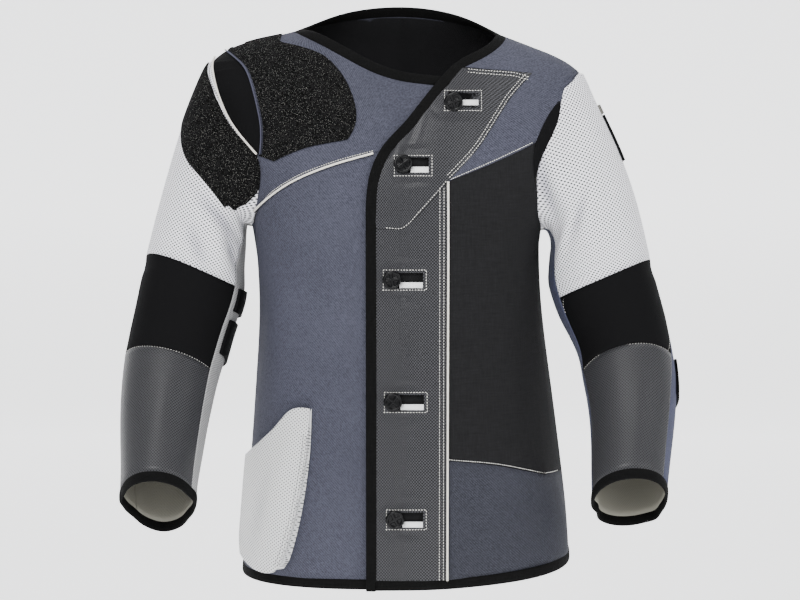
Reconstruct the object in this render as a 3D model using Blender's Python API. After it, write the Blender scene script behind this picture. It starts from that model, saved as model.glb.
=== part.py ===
"""Target-shooting jacket, filled out as it is worn, with nothing inside it.

Metres, +Z up, the front faces -Y and the wearer's left is +X. The origin is the middle of the
base of the neck, where the shoulders carry the jacket. Each piece that is cut and sewn is one
closed wall: its inner and outer faces are the same rows of points, moved out by two amounts.
"""

import math

import bpy
import numpy as np

# ---- driving sizes ---------------------------------------------------------------------------
CLOTH = 0.0025            # thickness of the stiff cloth and leather walls
OVERLAY_SPACE = 0.0005     # between a panel and what lies on it
OVERLAY = 0.0016          # thickness of what is sewn on top of a wall
SEAM = 0.0003             # space between neighbouring pieces
TORSO_GAPS = (SEAM * 0.9,) * 4     # how far a piece's four borders draw back from its seams
SLEEVE_GAPS = (SEAM * 1.6,) * 4
BINDING_WIDTH = 0.0125    # visible width of the bound edges
BINDING_WRAP = 0.00085    # a binding wraps the cloth on both faces
BINDING_EASE = 0.28       # share of a binding's thickness that its eased edges take
HEM_HEIGHT = -0.710       # ring of the very bottom of the hem
HEM_START = 0.15          # degrees between the front edge's binding and the hem's
NECK_HEIGHT = 0.001       # ring where the cloth stops at the neck
NECK_JOIN = 3.6           # degrees left between the two neck bindings' ends and the shoulder
BACK_COLUMNS = 15
GUSSET_TOP_Z = -0.0235    # where the right gusset's seam meets the shoulder seam
GUSSET_TIP = (-1.2, -0.004)   # girth and height from the end of that seam to the gusset's blunt tip
FRONT_ENDS = 400.0        # girths past this have come round to the right front again
PIPING_RADIUS = 0.0016    # round piping along the main seams
THIN_PIPING_RADIUS = 0.0011
OVERLAP_LIFT = 0.0055     # how far the left front lies out over the right front
OVERLAP_FULL = 0.048      # x where the lift is whole
OVERLAP_ENDS = 0.105      # x where the two fronts are level again
ROUNDNESS = 2.5           # 2 is an ellipse, more is squarer
SLEEVE_ROUNDNESS = 2.15
ARM_STEP = 12             # degrees between the points of an armhole's seam and its sleeve
SIDE_SEAM_TURN = 192      # where the side seam runs into the armhole
SLEEVE_END = 13.0         # the last ring of a sleeve, at the wrist
BUTTON_SPACE = 0.0014     # between the leather and a button's underside
SHANK_RADIUS = 0.0032
# the button's head above its underside, from the rim inwards: radius, height
BUTTON_HEAD = ((0.01015, 0.0), (0.0118, 0.0012), (0.0118, 0.0036), (0.0106, 0.0048), (0.0092, 0.0048),
               (0.0084, 0.0034), (0.0022, 0.0034))
SLOT_UP = 0.0085          # a slot's edges above and below the button's middle
SLOT_DOWN = 0.0110
SLOT_BEHIND = 0.0060      # how far a slot runs on behind the button
TAPE_START = 0.0095       # the white tape lies beside the button, along the slot's foot
TAPE_TOP = -0.0035
TAPE_FACES = (0.0006, 0.0022)     # the tape's two faces, out from the leather's inner face
SLOT_CUTTER = (-0.0030, 0.0080)   # the cutter's two ends, out from the same face
POCKET_THICK = 0.0020
POCKET_FOLD = 0.0050      # how far the pocket's side wall folds inwards
BELLOWS_FOLD = ((0.0, 0.1), (0.5, 1.0), (1.0, 0.1))   # shares of its height and of that fold
STRAP_THICK = 0.0024

# ---- the body of the jacket: one row for each ring, from the hem to inside the neck ------------
# height is taken at the right side; a rise is how much higher the same ring is elsewhere
TORSO_COLUMNS = ("height", "right", "left", "front", "back", "left_rise", "front_rise", "back_rise")
TORSO_RINGS = (
    (-0.710, 0.209, 0.225, 0.136, 0.130, 0.017, 0.004, 0.005),
    (-0.650, 0.204, 0.222, 0.136, 0.130, 0.014, 0.007, 0.008),
    (-0.590, 0.200, 0.216, 0.135, 0.129, 0.010, 0.005, 0.006),
    (-0.525, 0.194, 0.208, 0.132, 0.126, 0.006, 0.003, 0.004),
    (-0.450, 0.189, 0.198, 0.128, 0.122, 0.003, 0.001, 0.002),
    (-0.400, 0.185, 0.191, 0.126, 0.119, 0.000, 0.000, 0.000),
    (-0.350, 0.183, 0.185, 0.125, 0.118, 0.000, 0.000, 0.000),
    (-0.300, 0.185, 0.182, 0.125, 0.119, 0.000, 0.000, 0.000),
    (-0.250, 0.192, 0.183, 0.124, 0.122, -0.003, -0.001, 0.000),
    (-0.200, 0.200, 0.192, 0.121, 0.124, -0.005, -0.007, 0.000),
    (-0.150, 0.216, 0.207, 0.115, 0.122, -0.008, -0.017, 0.000),
    (-0.100, 0.236, 0.225, 0.106, 0.118, -0.012, -0.030, 0.000),
    (-0.065, 0.246, 0.236, 0.098, 0.112, -0.016, -0.042, 0.002),
    (-0.045, 0.246, 0.238, 0.092, 0.106, -0.018, -0.049, 0.006),
    (-0.033, 0.240, 0.233, 0.087, 0.100, -0.018, -0.053, 0.011),
    (-0.022, 0.224, 0.216, 0.083, 0.093, -0.015, -0.057, 0.017),
    (-0.010, 0.190, 0.183, 0.078, 0.083, -0.012, -0.060, 0.022),
    (0.001, 0.138, 0.136, 0.074, 0.075, -0.007, -0.062, 0.027),
    (0.007, 0.127, 0.125, 0.071, 0.073, -0.004, -0.059, 0.030),
    (0.014, 0.121, 0.119, 0.067, 0.072, -0.002, -0.056, 0.031),
    (0.024, 0.115, 0.113, 0.060, 0.070, 0.000, -0.053, 0.030),
)

# ---- sleeves: one row for each ring, from the shoulder to the wrist ----------------------------
# outer and inner are the ring's two sides as seen from the front; depth is its half size from
# front to back; y is its middle; pitch is how far the arm there points forward, in degrees
# outer x and z, inner x and z, y, depth, pitch
RIGHT_SLEEVE = (
    (-0.263, -0.066, -0.2050, -0.250, 0.004, 0.082, 0),
    (-0.282, -0.113, -0.2065, -0.270, 0.002, 0.078, 0),
    (-0.303, -0.180, -0.2065, -0.286, 0.000, 0.073, 2),
    (-0.319, -0.238, -0.2085, -0.306, -0.002, 0.069, 4),
    (-0.334, -0.296, -0.2115, -0.333, -0.006, 0.066, 8),
    (-0.343, -0.345, -0.2170, -0.362, -0.014, 0.064, 14),
    (-0.352, -0.392, -0.2290, -0.398, -0.030, 0.062, 24),
    (-0.357, -0.432, -0.2390, -0.434, -0.054, 0.059, 34),
    (-0.357, -0.468, -0.2450, -0.468, -0.083, 0.056, 42),
    (-0.354, -0.511, -0.2500, -0.512, -0.115, 0.054, 46),
    (-0.348, -0.552, -0.2555, -0.555, -0.150, 0.052, 47),
    (-0.342, -0.589, -0.2580, -0.593, -0.183, 0.051, 47),
)
LEFT_SLEEVE = (
    (0.254, -0.088, 0.1990, -0.260, 0.004, 0.078, 0),
    (0.274, -0.128, 0.2030, -0.278, 0.002, 0.076, 0),
    (0.296, -0.178, 0.2000, -0.292, 0.000, 0.072, 2),
    (0.314, -0.234, 0.1990, -0.312, -0.002, 0.068, 4),
    (0.328, -0.296, 0.2010, -0.336, -0.006, 0.065, 8),
    (0.340, -0.345, 0.2150, -0.364, -0.014, 0.063, 14),
    (0.351, -0.392, 0.2330, -0.398, -0.030, 0.061, 24),
    (0.356, -0.432, 0.2400, -0.434, -0.054, 0.058, 34),
    (0.355, -0.466, 0.2440, -0.466, -0.083, 0.055, 42),
    (0.347, -0.508, 0.2450, -0.510, -0.115, 0.053, 46),
    (0.337, -0.548, 0.2420, -0.551, -0.149, 0.051, 47),
    (0.329, -0.585, 0.2400, -0.589, -0.182, 0.050, 47),
)
# how far round the sleeve the front piece reaches at each ring; the under piece is the rest
SLEEVE_SEAMS = {
    "right": {"ring": (0, 5, 9, 13), "low": (-60, -48, -40, -40), "high": (168, 150, 150, 156)},
    "left": {"ring": (0, 5, 9, 13), "low": (-60, -22, 34, 38), "high": (168, 150, 165, 168)},
}
# the crosswise seams: ring they lie on, and how much further down they are in front and inside
ELBOW_TOP = {"right": (6.05, -0.30, 0.10), "left": (6.25, -0.10, 0.25)}
ELBOW_FOOT = {"right": (9.10, -0.05, 0.35), "left": (9.10, -0.15, 0.25)}
SLEEVE_ROWS = (8, 4, 5)   # rows of points along the upper, elbow and forearm pieces
# the sleeve's second ring lies this far out and down from the armhole, and further down on the outer side
SLEEVE_HEAD = (0.0085, 0.0015, 0.0030)
CUFF_RING = 12.65         # where the sleeve's cloth stops and its binding begins
CUFF_SIDES = 32           # points round a cuff's binding

# ---- seams of the armholes: a row for each point round the hole, from the shoulder ---------------
# around is the place on the sleeve's ring: 0 outer, 90 front, 180 under the arm, 270 back
# around, x, z
RIGHT_ARMHOLE = (
    (0, -0.2400, -0.0335), (35, -0.2385, -0.0550), (57, -0.2290, -0.0850), (76, -0.2130, -0.1180),
    (97, -0.1800, -0.1565), (108, -0.1770, -0.1750), (122, -0.1800, -0.2000), (145, -0.1860, -0.2300),
    (180, -0.1920, -0.2500), (217, -0.1830, -0.2290), (238, -0.1730, -0.2000), (263, -0.1680, -0.1550),
    (284, -0.1750, -0.1170), (303, -0.1920, -0.0850), (325, -0.2160, -0.0550),
)
LEFT_ARMHOLE = (
    (0, 0.2325, -0.0510), (30, 0.2150, -0.0660), (43, 0.2060, -0.0810), (67, 0.2015, -0.1135),
    (79, 0.1928, -0.1339), (93, 0.1779, -0.1592), (105, 0.1720, -0.1795), (118, 0.1750, -0.2000),
    (145, 0.1800, -0.2370), (180, 0.1830, -0.2552), (217, 0.1760, -0.2340), (238, 0.1670, -0.2050),
    (263, 0.1620, -0.1650), (284, 0.1690, -0.1290), (303, 0.1860, -0.0990), (325, 0.2100, -0.0720),
)

# ---- lines on the fronts, as (x, z) seen square from the front ----------------------------------
RIGHT_NECKLINE = (
    (-0.1180, -0.0060), (-0.0698, -0.0320), (-0.0393, -0.0487), (-0.0013, -0.0615), (0.0393, -0.0666),
    (0.0530, -0.0682),
)
UNDERLAP_X = 0.040        # hidden edge of the right front, under the placket
STAND_X = -0.022          # where the right front's cloth gives way to the button stand
LEFT_CLOTH_EDGE = (
    (0.1290, -0.0045), (0.1120, -0.0140), (0.0944, -0.0300), (0.0686, -0.0577), (0.0420, -0.0900),
    (0.0151, -0.1232), (-0.0125, -0.1518), (-0.0263, -0.1817), (-0.0303, -0.2153),
)
CLOTH_EDGE_X = -0.0303    # the left front's cloth edge below the slant
PLACKET_TOP = (0.0800, -0.0450)
PLACKET_CORNER = (0.1690, -0.0523)
PLACKET_TIP = (0.0592, -0.1880)
PLACKET_EDGE = (PLACKET_CORNER, (0.1411, -0.0818), (0.1260, -0.1045), (0.0970, -0.1486), PLACKET_TIP)
PLACKET_X = 0.0592        # outer edge of the lower placket
PLACKET_SEAM = (
    (-0.0303, -0.2466), (-0.0130, -0.2466), (0.0038, -0.2465), (0.0125, -0.2403), (0.0244, -0.2272),
    (0.0363, -0.2141), (0.0481, -0.2010), (0.0592, -0.1880),
)
CHEST_SEAM = (
    (-0.1860, -0.2300), (-0.1687, -0.2115), (-0.1353, -0.1880), (-0.0855, -0.1675), (-0.0220, -0.1500),
)
CHEST_SEAM_END = (0.0420, -0.1370)
CHEST_PIPING_START = 0.15   # share of the first step that the piping keeps clear of the armhole
CHEST_PIPING_END = (-0.0335, -0.1528)
GUSSET_LINE = {
    "right": ((-0.2120, -0.0330), (-0.1985, -0.0430), (-0.1870, -0.0700), (-0.1785, -0.1000),
              (-0.1740, -0.1250), (-0.1760, -0.1540)),
    "left": ((0.2010, -0.0870), (0.1935, -0.0940), (0.1825, -0.1133), (0.1707, -0.1399),
             (0.1675, -0.1590), (0.1695, -0.1800)),
}
SIDE_PANEL_FOOT = ((0.0585, -0.5391), (0.1274, -0.5493), (0.2167, -0.5777))
PATCH_ROWS = 9            # rows and columns of the yoke's points under the patch
PATCH_COLUMNS = 7
CHEST_PATCH_EDGE = (
    (-0.1330, -0.0060), (-0.0960, -0.0300), (-0.0720, -0.0560), (-0.0575, -0.0880), (-0.0535, -0.1094),
    (-0.0570, -0.1232), (-0.0654, -0.1357),
)
CHEST_PATCH_INSET = 0.0030   # the patch stops this far from the piping at the gusset
CHEST_PATCH_FOOT = ((-0.1730, -0.1700), (-0.1443, -0.1560), (-0.1185, -0.1458), (-0.0654, -0.1357))

# ---- what is sewn on the sleeves -------------------------------------------------------------------
# where the patch ends: angle round the sleeve, and ring along it
SLEEVE_PATCH_FOOT = (
    (-30, 2.93), (0, 2.93), (12, 2.97), (24, 3.08), (36, 3.22), (48, 3.30), (60, 3.31), (72, 3.20),
    (84, 3.08), (96, 2.90), (108, 2.65), (120, 2.10), (132, 2.60), (144, 3.00), (168, 3.15),
)
SLEEVE_PATCH_TOP = 0.90
SLEEVE_PATCH_ROWS = (1, 5)        # rows and columns of the upper sleeve's points under the patch
SLEEVE_PATCH_COLUMNS = (2, 15)
SLEEVE_PATCH_BULGE = (15.0, 1.6, 0.6, 0.79, 0.21)   # degrees, ring, half length, share, half width
# raised folds of the sleeves: middle ring and angle, half length in rings, half width in degrees,
# height, and degrees of slant for each ring
SLEEVE_FOLDS = {
    "right": (
        (3.2, 118, 1.2, 12, 0.0045, -12), (4.2, 132, 1.0, 11, 0.0040, -14), (5.0, 112, 0.8, 10, 0.0030, -12),
        (6.2, 178, 0.35, 34, 0.0075, 0), (7.1, 176, 0.35, 36, 0.0085, 0), (8.2, 172, 0.45, 34, 0.0080, 0),
        (9.6, 170, 0.6, 30, 0.0050, 0), (7.4, 260, 0.9, 22, -0.0040, 10), (4.6, 230, 1.2, 18, 0.0045, 8),
    ),
    "left": (
        (3.3, 100, 1.6, 9, 0.0035, 4), (4.0, 140, 1.3, 10, 0.0040, 6), (3.0, 60, 1.6, 12, -0.0025, 2),
        (5.9, 178, 0.35, 34, 0.0070, 0), (6.9, 178, 0.35, 36, 0.0085, 0), (7.9, 174, 0.4, 34, 0.0070, 0),
        (9.4, 172, 0.6, 28, 0.0045, 0), (7.2, 262, 0.9, 22, -0.0040, -10), (4.4, 232, 1.2, 18, 0.0045, -8),
    ),
}

# name, carrying panel, first and last of its rows, first and last of its columns, cloth
SLEEVE_TABS = (
    ("left_arm_tab", "left_sleeve_upper", 3.3, 5.0, 0.4, 4.4, "black stretch"),
    ("left_arm_tab_tip", "left_sleeve_upper", 2.85, 3.24, 0.6, 4.2, "grey leather"),
    ("left_forearm_tab", "left_under_sleeve", 11.85, 13.5, 8.1, 9.95, "black stretch"),
    ("right_elbow_strap_1", "right_under_sleeve", 8.1, 9.3, 0.5, 5.75, "black stretch"),
    ("right_elbow_strap_2", "right_under_sleeve", 9.7, 11.2, 0.5, 5.75, "black stretch"),
)

# ---- bellows pocket low on the right front: its outline as (x, z), and how far it stands out --------
POCKET_MOUTH = (
    (-0.1320, -0.4750), (-0.1530, -0.5030), (-0.1690, -0.5220), (-0.1840, -0.5400), (-0.1900, -0.5480),
)
POCKET_LEFT = (
    (-0.1900, -0.5480), (-0.1920, -0.5800), (-0.1940, -0.6200), (-0.1965, -0.6600), (-0.1950, -0.6760),
)
POCKET_RIGHT = (
    (-0.1110, -0.4750), (-0.1130, -0.5300), (-0.1190, -0.5800), (-0.1280, -0.6300), (-0.1390, -0.6700),
)
POCKET_FOOT = (
    (-0.1950, -0.6760), (-0.1850, -0.6850), (-0.1650, -0.6890), (-0.1480, -0.6850), (-0.1390, -0.6700),
)
POCKET_OUT_TOP = 0.006
POCKET_OUT_FOOT = 0.024
POCKET_SIDE_SHARE = 0.35   # how much of that is left at the side of the body
POCKET_SAG = 1.2           # more holds the upper part closer to the jacket
POCKET_SIDE_X = -0.196
POCKET_FULL_X = -0.140

# ---- buttons and their slots: a row for each, from the top ----------------------------------------
# x and z of the button's middle, x of the slot's far end
BUTTONS = (
    (0.0670, -0.0856, 0.0990),
    (0.0038, -0.1667, 0.0360),
    (-0.0101, -0.3094, 0.0289),
    (-0.0088, -0.4638, 0.0302),
    (-0.0063, -0.6127, 0.0292),
)

COLOURS = {
    "blue cloth": ((0.098, 0.112, 0.165), 0.85),
    "black cloth": ((0.018, 0.018, 0.019), 0.8),
    "black stretch": ((0.010, 0.010, 0.011), 0.9),
    "grey leather": ((0.069, 0.069, 0.076), 0.45),
    "white leather": ((0.68, 0.68, 0.70), 0.55),
    "pale leather": ((0.60, 0.60, 0.60), 0.55),
    "pale grey mesh": ((0.30, 0.30, 0.30), 0.6),
    "grit rubber": ((0.009, 0.009, 0.009), 0.95),
    "binding": ((0.011, 0.011, 0.010), 0.85),
    "cream piping": ((0.68, 0.64, 0.60), 0.6),
    "blue piping": ((0.16, 0.16, 0.24), 0.7),
    "button plastic": ((0.008, 0.008, 0.008), 0.25),
}


def clear_scene():
    """Start from an empty scene."""
    for item in list(bpy.data.objects):
        bpy.data.objects.remove(item, do_unlink=True)


def material(name):
    """The shared material for one kind of cloth."""
    found = bpy.data.materials.get(name)
    if found:
        return found
    made = bpy.data.materials.new(name)
    made.use_nodes = True
    shader = made.node_tree.nodes["Principled BSDF"]
    colour, roughness = COLOURS[name]
    shader.inputs["Base Color"].default_value = (*colour, 1.0)
    shader.inputs["Roughness"].default_value = roughness
    shader.inputs["Metallic"].default_value = 0.0
    return made


def facing_out(points, faces):
    """The faces, turned round if they look into the closed body that they make."""
    volume = 0.0
    for face in faces:
        for second, third in zip(face[1:], face[2:]):
            volume += np.dot(points[face[0]], np.cross(points[second], points[third]))
    return faces if volume > 0 else [face[::-1] for face in faces]


def add_object(name, points, faces, cloth):
    """One named object from points and faces, shaded smooth away from its sharp edges."""
    faces = facing_out(points, faces)
    mesh = bpy.data.meshes.new(name)
    mesh.from_pydata([tuple(point) for point in points], [], faces)
    mesh.materials.append(material(cloth))
    mesh.shade_smooth()
    mesh.set_sharp_from_angle(angle=math.radians(40))
    made = bpy.data.objects.new(name, mesh)
    bpy.context.collection.objects.link(made)
    return made


# ---- smooth curves ------------------------------------------------------------------------------
def through(places, values, place):
    """Value at a place on the smooth curve through the given values (numbers or points)."""
    last = len(places) - 1
    place = min(max(place, places[0]), places[-1])
    low = 0
    while low < last - 1 and place > places[low + 1]:
        low += 1

    def slope(index):
        before, after = max(index - 1, 0), min(index + 1, last)
        return (values[after] - values[before]) / (places[after] - places[before])

    width = places[low + 1] - places[low]
    t = (place - places[low]) / width
    start, end = values[low], values[low + 1]
    return ((2 * t**3 - 3 * t**2 + 1) * start + (t**3 - 2 * t**2 + t) * width * slope(low)
            + (3 * t**2 - 2 * t**3) * end + (t**3 - t**2) * width * slope(low + 1))


def spread(points, count, curved=True):
    """count + 1 points evenly spaced along the smooth or straight-sided line through points."""
    points = [np.array(point, float) for point in points]
    steps = [0.0]
    for first, second in zip(points, points[1:]):
        steps.append(steps[-1] + max(float(np.linalg.norm(second - first)), 1e-9))
    spots = [steps[-1] * index / count for index in range(count + 1)]
    if curved and len(points) > 2:
        return [through(steps, points, spot) for spot in spots]
    line = []
    for spot in spots:
        low = max(i for i in range(len(steps) - 1) if steps[i] <= spot + 1e-12)
        share = (spot - steps[low]) / (steps[low + 1] - steps[low])
        line.append(points[low] * (1 - share) + points[low + 1] * share)
    return line


# ---- the torso's form -----------------------------------------------------------------------------
RINGS = dict(zip(TORSO_COLUMNS, zip(*TORSO_RINGS)))


def ring_value(column, height):
    """A column of the torso table at any height."""
    return through(RINGS["height"], RINGS[column], height)


def torso_point(girth, height):
    """Point on the torso's inner face; girth is 0 left, 90 back, 180 right, 270 front."""
    c = math.cos(math.radians(girth))
    s = math.sin(math.radians(girth))
    swell = (abs(c)**ROUNDNESS + abs(s)**ROUNDNESS) ** (-1 / ROUNDNESS)
    half = ring_value("left" if c > 0 else "right", height)
    depth = ring_value("back" if s > 0 else "front", height)
    rise = ring_value("back_rise" if s > 0 else "front_rise", height)
    side_rise = ring_value("left_rise", height) if c > 0 else 0.0
    z = height + side_rise * (1 - s * s) + rise * s * s
    return np.array((swell * half * c, swell * depth * s, z))


def torso_normal(girth, height):
    """Outward direction of the torso's face."""
    along = torso_point(girth + 0.5, height) - torso_point(girth - 0.5, height)
    up = torso_point(girth, height + 0.001) - torso_point(girth, height - 0.001)
    normal = np.cross(along, up)
    return normal / np.linalg.norm(normal)


def overlap_lift(girth, x):
    """How far the left front stands out over the right front."""
    if girth > FRONT_ENDS:
        return 0.0
    share = min(max((OVERLAP_ENDS - x) / (OVERLAP_ENDS - OVERLAP_FULL), 0.0), 1.0)
    return OVERLAP_LIFT * share * share * (3 - 2 * share)


def on_torso(x, z, back=False):
    """Girth and height of the torso's point seen at (x, z), from the front or the back."""
    height = z
    girth = 270.0
    for _ in range(14):
        low, high = (180.0, 0.0) if back else (180.0, 360.0)
        for _ in range(34):
            girth = (low + high) / 2
            if torso_point(girth, height)[0] < x:
                low = girth
            else:
                high = girth
        height += 0.8 * (z - torso_point(girth, height)[2])
    return np.array((girth, height))


# ---- walls ------------------------------------------------------------------------------------------
PANELS = {}
ARMHOLE_WAYS = {}


def closed_wall(name, inner, outer, cloth):
    """A closed wall between two grids of points, each a list of rows."""
    PANELS[name] = (inner, outer)
    rows, columns = len(inner), len(inner[0])
    points = [point for grid in (inner, outer) for row in grid for point in row]
    out = rows * columns
    faces = []
    for r in range(rows - 1):
        for c in range(columns - 1):
            first, across = r * columns + c, r * columns + c + 1
            below, last = (r + 1) * columns + c, (r + 1) * columns + c + 1
            for corners in ([first, across, last], [first, last, below]):
                faces.append(corners[::-1])
                faces.append([spot + out for spot in corners])
    border = [(0, c) for c in range(columns)] + [(r, columns - 1) for r in range(1, rows)]
    border += [(rows - 1, c) for c in range(columns - 2, -1, -1)] + [(r, 0) for r in range(rows - 2, 0, -1)]
    ring = [r * columns + c for r, c in border]
    for first, second in zip(ring, ring[1:] + ring[:1]):
        faces.append([first, second, second + out, first + out])
    return add_object(name, points, faces, cloth)


def pull_in(grid, amounts):
    """Move the borders of a grid inwards: amounts for the first and last rows and columns."""
    grid = [[point.copy() for point in row] for row in grid]
    pairs = [list(zip(grid[0], grid[1])), list(zip(grid[-1], grid[-2])),
             [(row[0], row[1]) for row in grid], [(row[-1], row[-2]) for row in grid]]
    for side, amount in zip(pairs, amounts):
        for point, towards in side:
            step = towards - point
            point += step * amount / max(np.linalg.norm(step), 1e-6)
    return grid


def between(first, second, count):
    """Rows of places on straight runs from one line of places to another."""
    return [[start + (end - start) * j / count for j in range(count + 1)]
            for start, end in zip(first, second)]


def filled(top, foot, start, end):
    """Rows of places that fill four border lines; top and foot run from start to end."""
    rows, columns = len(start) - 1, len(top) - 1
    grid = []
    for i in range(rows + 1):
        v = i / rows
        line = []
        for j in range(columns + 1):
            u = j / columns
            sides = start[i] * (1 - u) + end[i] * u
            ends = top[j] * (1 - v) + foot[j] * v
            corners = ((top[0] * (1 - u) + top[-1] * u) * (1 - v)
                       + (foot[0] * (1 - u) + foot[-1] * u) * v)
            line.append(sides + ends - corners)
        grid.append(line)
    return grid


def place_key(place):
    """A name for a place, the same for every piece that shares it."""
    return round(place[0] % 360.0, 3), round(place[1], 5)


def cloth_way(place):
    """The way the cloth's thickness goes at a place: shared with the sleeve along an armhole."""
    return ARMHOLE_WAYS.get(place_key(place), torso_normal(*place))


def torso_raised(places, out, lifted=False):
    """Points on the torso for rows of places, moved out along the cloth's own direction."""
    rows = []
    for row in places:
        line = []
        for girth, height in row:
            base = torso_point(girth, height)
            lift = overlap_lift(girth, base[0]) if lifted else 0.0
            line.append(base + cloth_way((girth, height)) * (out + lift))
        rows.append(line)
    return rows


def torso_panel(name, places, cloth, lifted=False):
    """A piece of the torso that fills rows of places."""
    inner = pull_in(torso_raised(places, 0.0, lifted), TORSO_GAPS)
    outer = pull_in(torso_raised(places, CLOTH, lifted), TORSO_GAPS)
    closed_wall(name, inner, outer, cloth)


def above_panel(name, row, column, out):
    """A point above a panel's outer face, at a row and column of the panel's own points."""
    inner, outer = PANELS[name]
    i, j = min(int(row), len(outer) - 2), min(int(column), len(outer[0]) - 2)
    u, v = row - i, column - j
    short, long = min(u, v), max(u, v)
    side = (i + 1, j) if u > v else (i, j + 1)
    low, high = [grid[i][j] * (1 - long) + grid[side[0]][side[1]] * (long - short)
                 + grid[i + 1][j + 1] * short for grid in (inner, outer)]
    return high + (high - low) / np.linalg.norm(high - low) * out


def stops(first, last):
    """The two ends of a span of rows or columns, and the whole numbers between them."""
    return [first] + [n for n in range(math.floor(first) + 1, math.ceil(last))] + [last]


def overlay(name, panel, rows, columns, thick, cloth, gaps=(0.0,) * 4):
    """A piece that lies on a panel, over a span of the panel's own rows and columns."""
    grids = []
    for out in (OVERLAY_SPACE, OVERLAY_SPACE + thick):
        grid = [[above_panel(panel, row, column, out) for column in stops(*columns)] for row in stops(*rows)]
        grids.append(pull_in(grid, gaps))
    closed_wall(name, *grids, cloth)


def swept(name, points, normals, profile, cloth, ring=False):
    """A strip along points; profile is a loop of (across, out) offsets."""
    count, sides = len(points), len(profile)
    rows = []
    for index in range(count):
        before = points[(index - 1) % count if ring else max(index - 1, 0)]
        after = points[(index + 1) % count if ring else min(index + 1, count - 1)]
        along = after - before
        across = np.cross(normals[index], along)
        across /= np.linalg.norm(across)
        out = np.cross(along, across)
        out /= np.linalg.norm(out)
        rows.append([points[index] + across * u + out * v for u, v in profile])
    verts = [point for row in rows for point in row]
    faces = []
    for index in range(count if ring else count - 1):
        here, there = index * sides, ((index + 1) % count) * sides
        for k in range(sides):
            after = (k + 1) % sides
            faces.append([here + k, there + k, there + after, here + after])
    if not ring:
        faces.append(list(range(sides)))
        faces.append(list(reversed(range((count - 1) * sides, count * sides))))
    return add_object(name, verts, faces, cloth)


def round_profile(radius, out, sides=6):
    """A round cord whose middle lies out above the line it follows."""
    turns = [2 * math.pi * k / sides for k in range(sides)]
    return [(radius * math.cos(turn), out + radius * math.sin(turn)) for turn in turns]


def band_profile(start, end, low, high):
    """A flat band across from start to end with its edges eased over, seen along the strip."""
    ease = (high - low) * BINDING_EASE
    return [(start, low + ease), (start + ease, low), (end - ease, low), (end, low + ease),
            (end, high - ease), (end - ease, high), (start + ease, high), (start, high - ease)]


def torso_strip(name, places, profile, cloth, lifted=False):
    """A strip along a line of places on the torso."""
    points = torso_raised([places], 0.0, lifted)[0]
    normals = [torso_normal(*place) for place in places]
    return swept(name, points, normals, profile, cloth)


# ---- lines that several pieces share ---------------------------------------------------------------
def front_places(points, count, curved=True):
    """Places on the torso along a line drawn on the front as (x, z) points."""
    return [on_torso(*point) for point in spread(points, count, curved)]


def straight(first, second, count):
    """Places evenly between two places on the torso."""
    first, second = np.array(first, float), np.array(second, float)
    return [first + (second - first) * i / count for i in range(count + 1)]


def read_armhole(table, left):
    """Places of an armhole's seam against the angle round the sleeve."""
    turns, spots = [], []
    for around, x, z in table:
        place = on_torso(x, z, back=around > 180)
        if around in (0, 180):
            place = np.array((360.0 if left else 180.0, z_to_height(z, left)))
        elif around > 180 and left:
            place = place + (360.0, 0.0)
        turns.append(around)
        spots.append(place)
    turns = [turn - 360 for turn in turns[-3:]] + turns + [turn + 360 for turn in turns[:3]]
    return turns, spots[-3:] + spots + spots[:3]


def z_to_height(z, left):
    """Ring height that has its side point at z."""
    height = z
    for _ in range(30):
        height += z - torso_point(360.0 if left else 180.0, height)[2]
    return height


ARMHOLES = {"right": read_armhole(RIGHT_ARMHOLE, False), "left": read_armhole(LEFT_ARMHOLE, True)}


def armhole(side, around):
    """Place on the torso of the armhole's seam at an angle round the sleeve."""
    turns, spots = ARMHOLES[side]
    return through(turns, spots, around % 360)


def hem_place(girth):
    """Place on the cloth's bottom edge, just above the hem's binding."""
    return np.array((girth, HEM_HEIGHT + BINDING_WIDTH))


def down_front(x, start, count, foot_height=HEM_HEIGHT + BINDING_WIDTH):
    """Places down the front at one x, from a starting place to a height."""
    line = [np.array(start, float)]
    for i in range(1, count + 1):
        height = start[1] + (foot_height - start[1]) * i / count
        girth = start[0]
        for _ in range(3):
            girth = on_torso(x, torso_point(girth, height)[2])[0]
        line.append(np.array((girth, height)))
    return line


def arm_places(side, start, end):
    """Places along the armhole's seam at the shared steps between two angles."""
    count = round((end - start) / ARM_STEP)
    return [armhole(side, start + ARM_STEP * i) for i in range(count + 1)]


SIDE_SEAM = {side: armhole(side, SIDE_SEAM_TURN)[0] for side in ("right", "left")}
SHOULDER = {"right": armhole("right", 0), "left": armhole("left", 0)}
NECK = {"right": np.array((180.0, NECK_HEIGHT)), "left": np.array((360.0, NECK_HEIGHT))}


# ---- pieces of the torso ---------------------------------------------------------------------------
def back_panel():
    """The back in one piece, from side seam to side seam and up to the neck."""
    edges = []
    for side, turn in (("left", 360.0), ("right", 0.0)):
        arm = arm_places(side, SIDE_SEAM_TURN, 360)
        line = straight(hem_place(SIDE_SEAM[side]), arm[0], 8) + arm[1:]
        line += straight(arm[-1], NECK[side], 4)[1:]
        edges.append([place - (turn, 0) for place in line])
    torso_panel("back_panel", between(*edges, BACK_COLUMNS), "blue cloth")


def right_gusset_line():
    """The gusset's own seam on the right, from the shoulder down to the armhole."""
    start = np.array((180.0, z_to_height(GUSSET_TOP_Z, False)))
    return [start] + front_places(GUSSET_LINE["right"], 7)


def right_neck_line():
    """Where the cloth stops at the right of the neck, from the shoulder to the hidden edge."""
    return [NECK["right"]] + front_places(RIGHT_NECKLINE, PATCH_ROWS - 1)


def chest_line():
    """The seam under the right yoke, from the armhole to the hidden edge."""
    line = front_places(CHEST_SEAM, 10)
    line[0] = armhole("right", 144)
    return line + straight(line[-1], on_torso(*CHEST_SEAM_END), 2)[1:]


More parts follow.
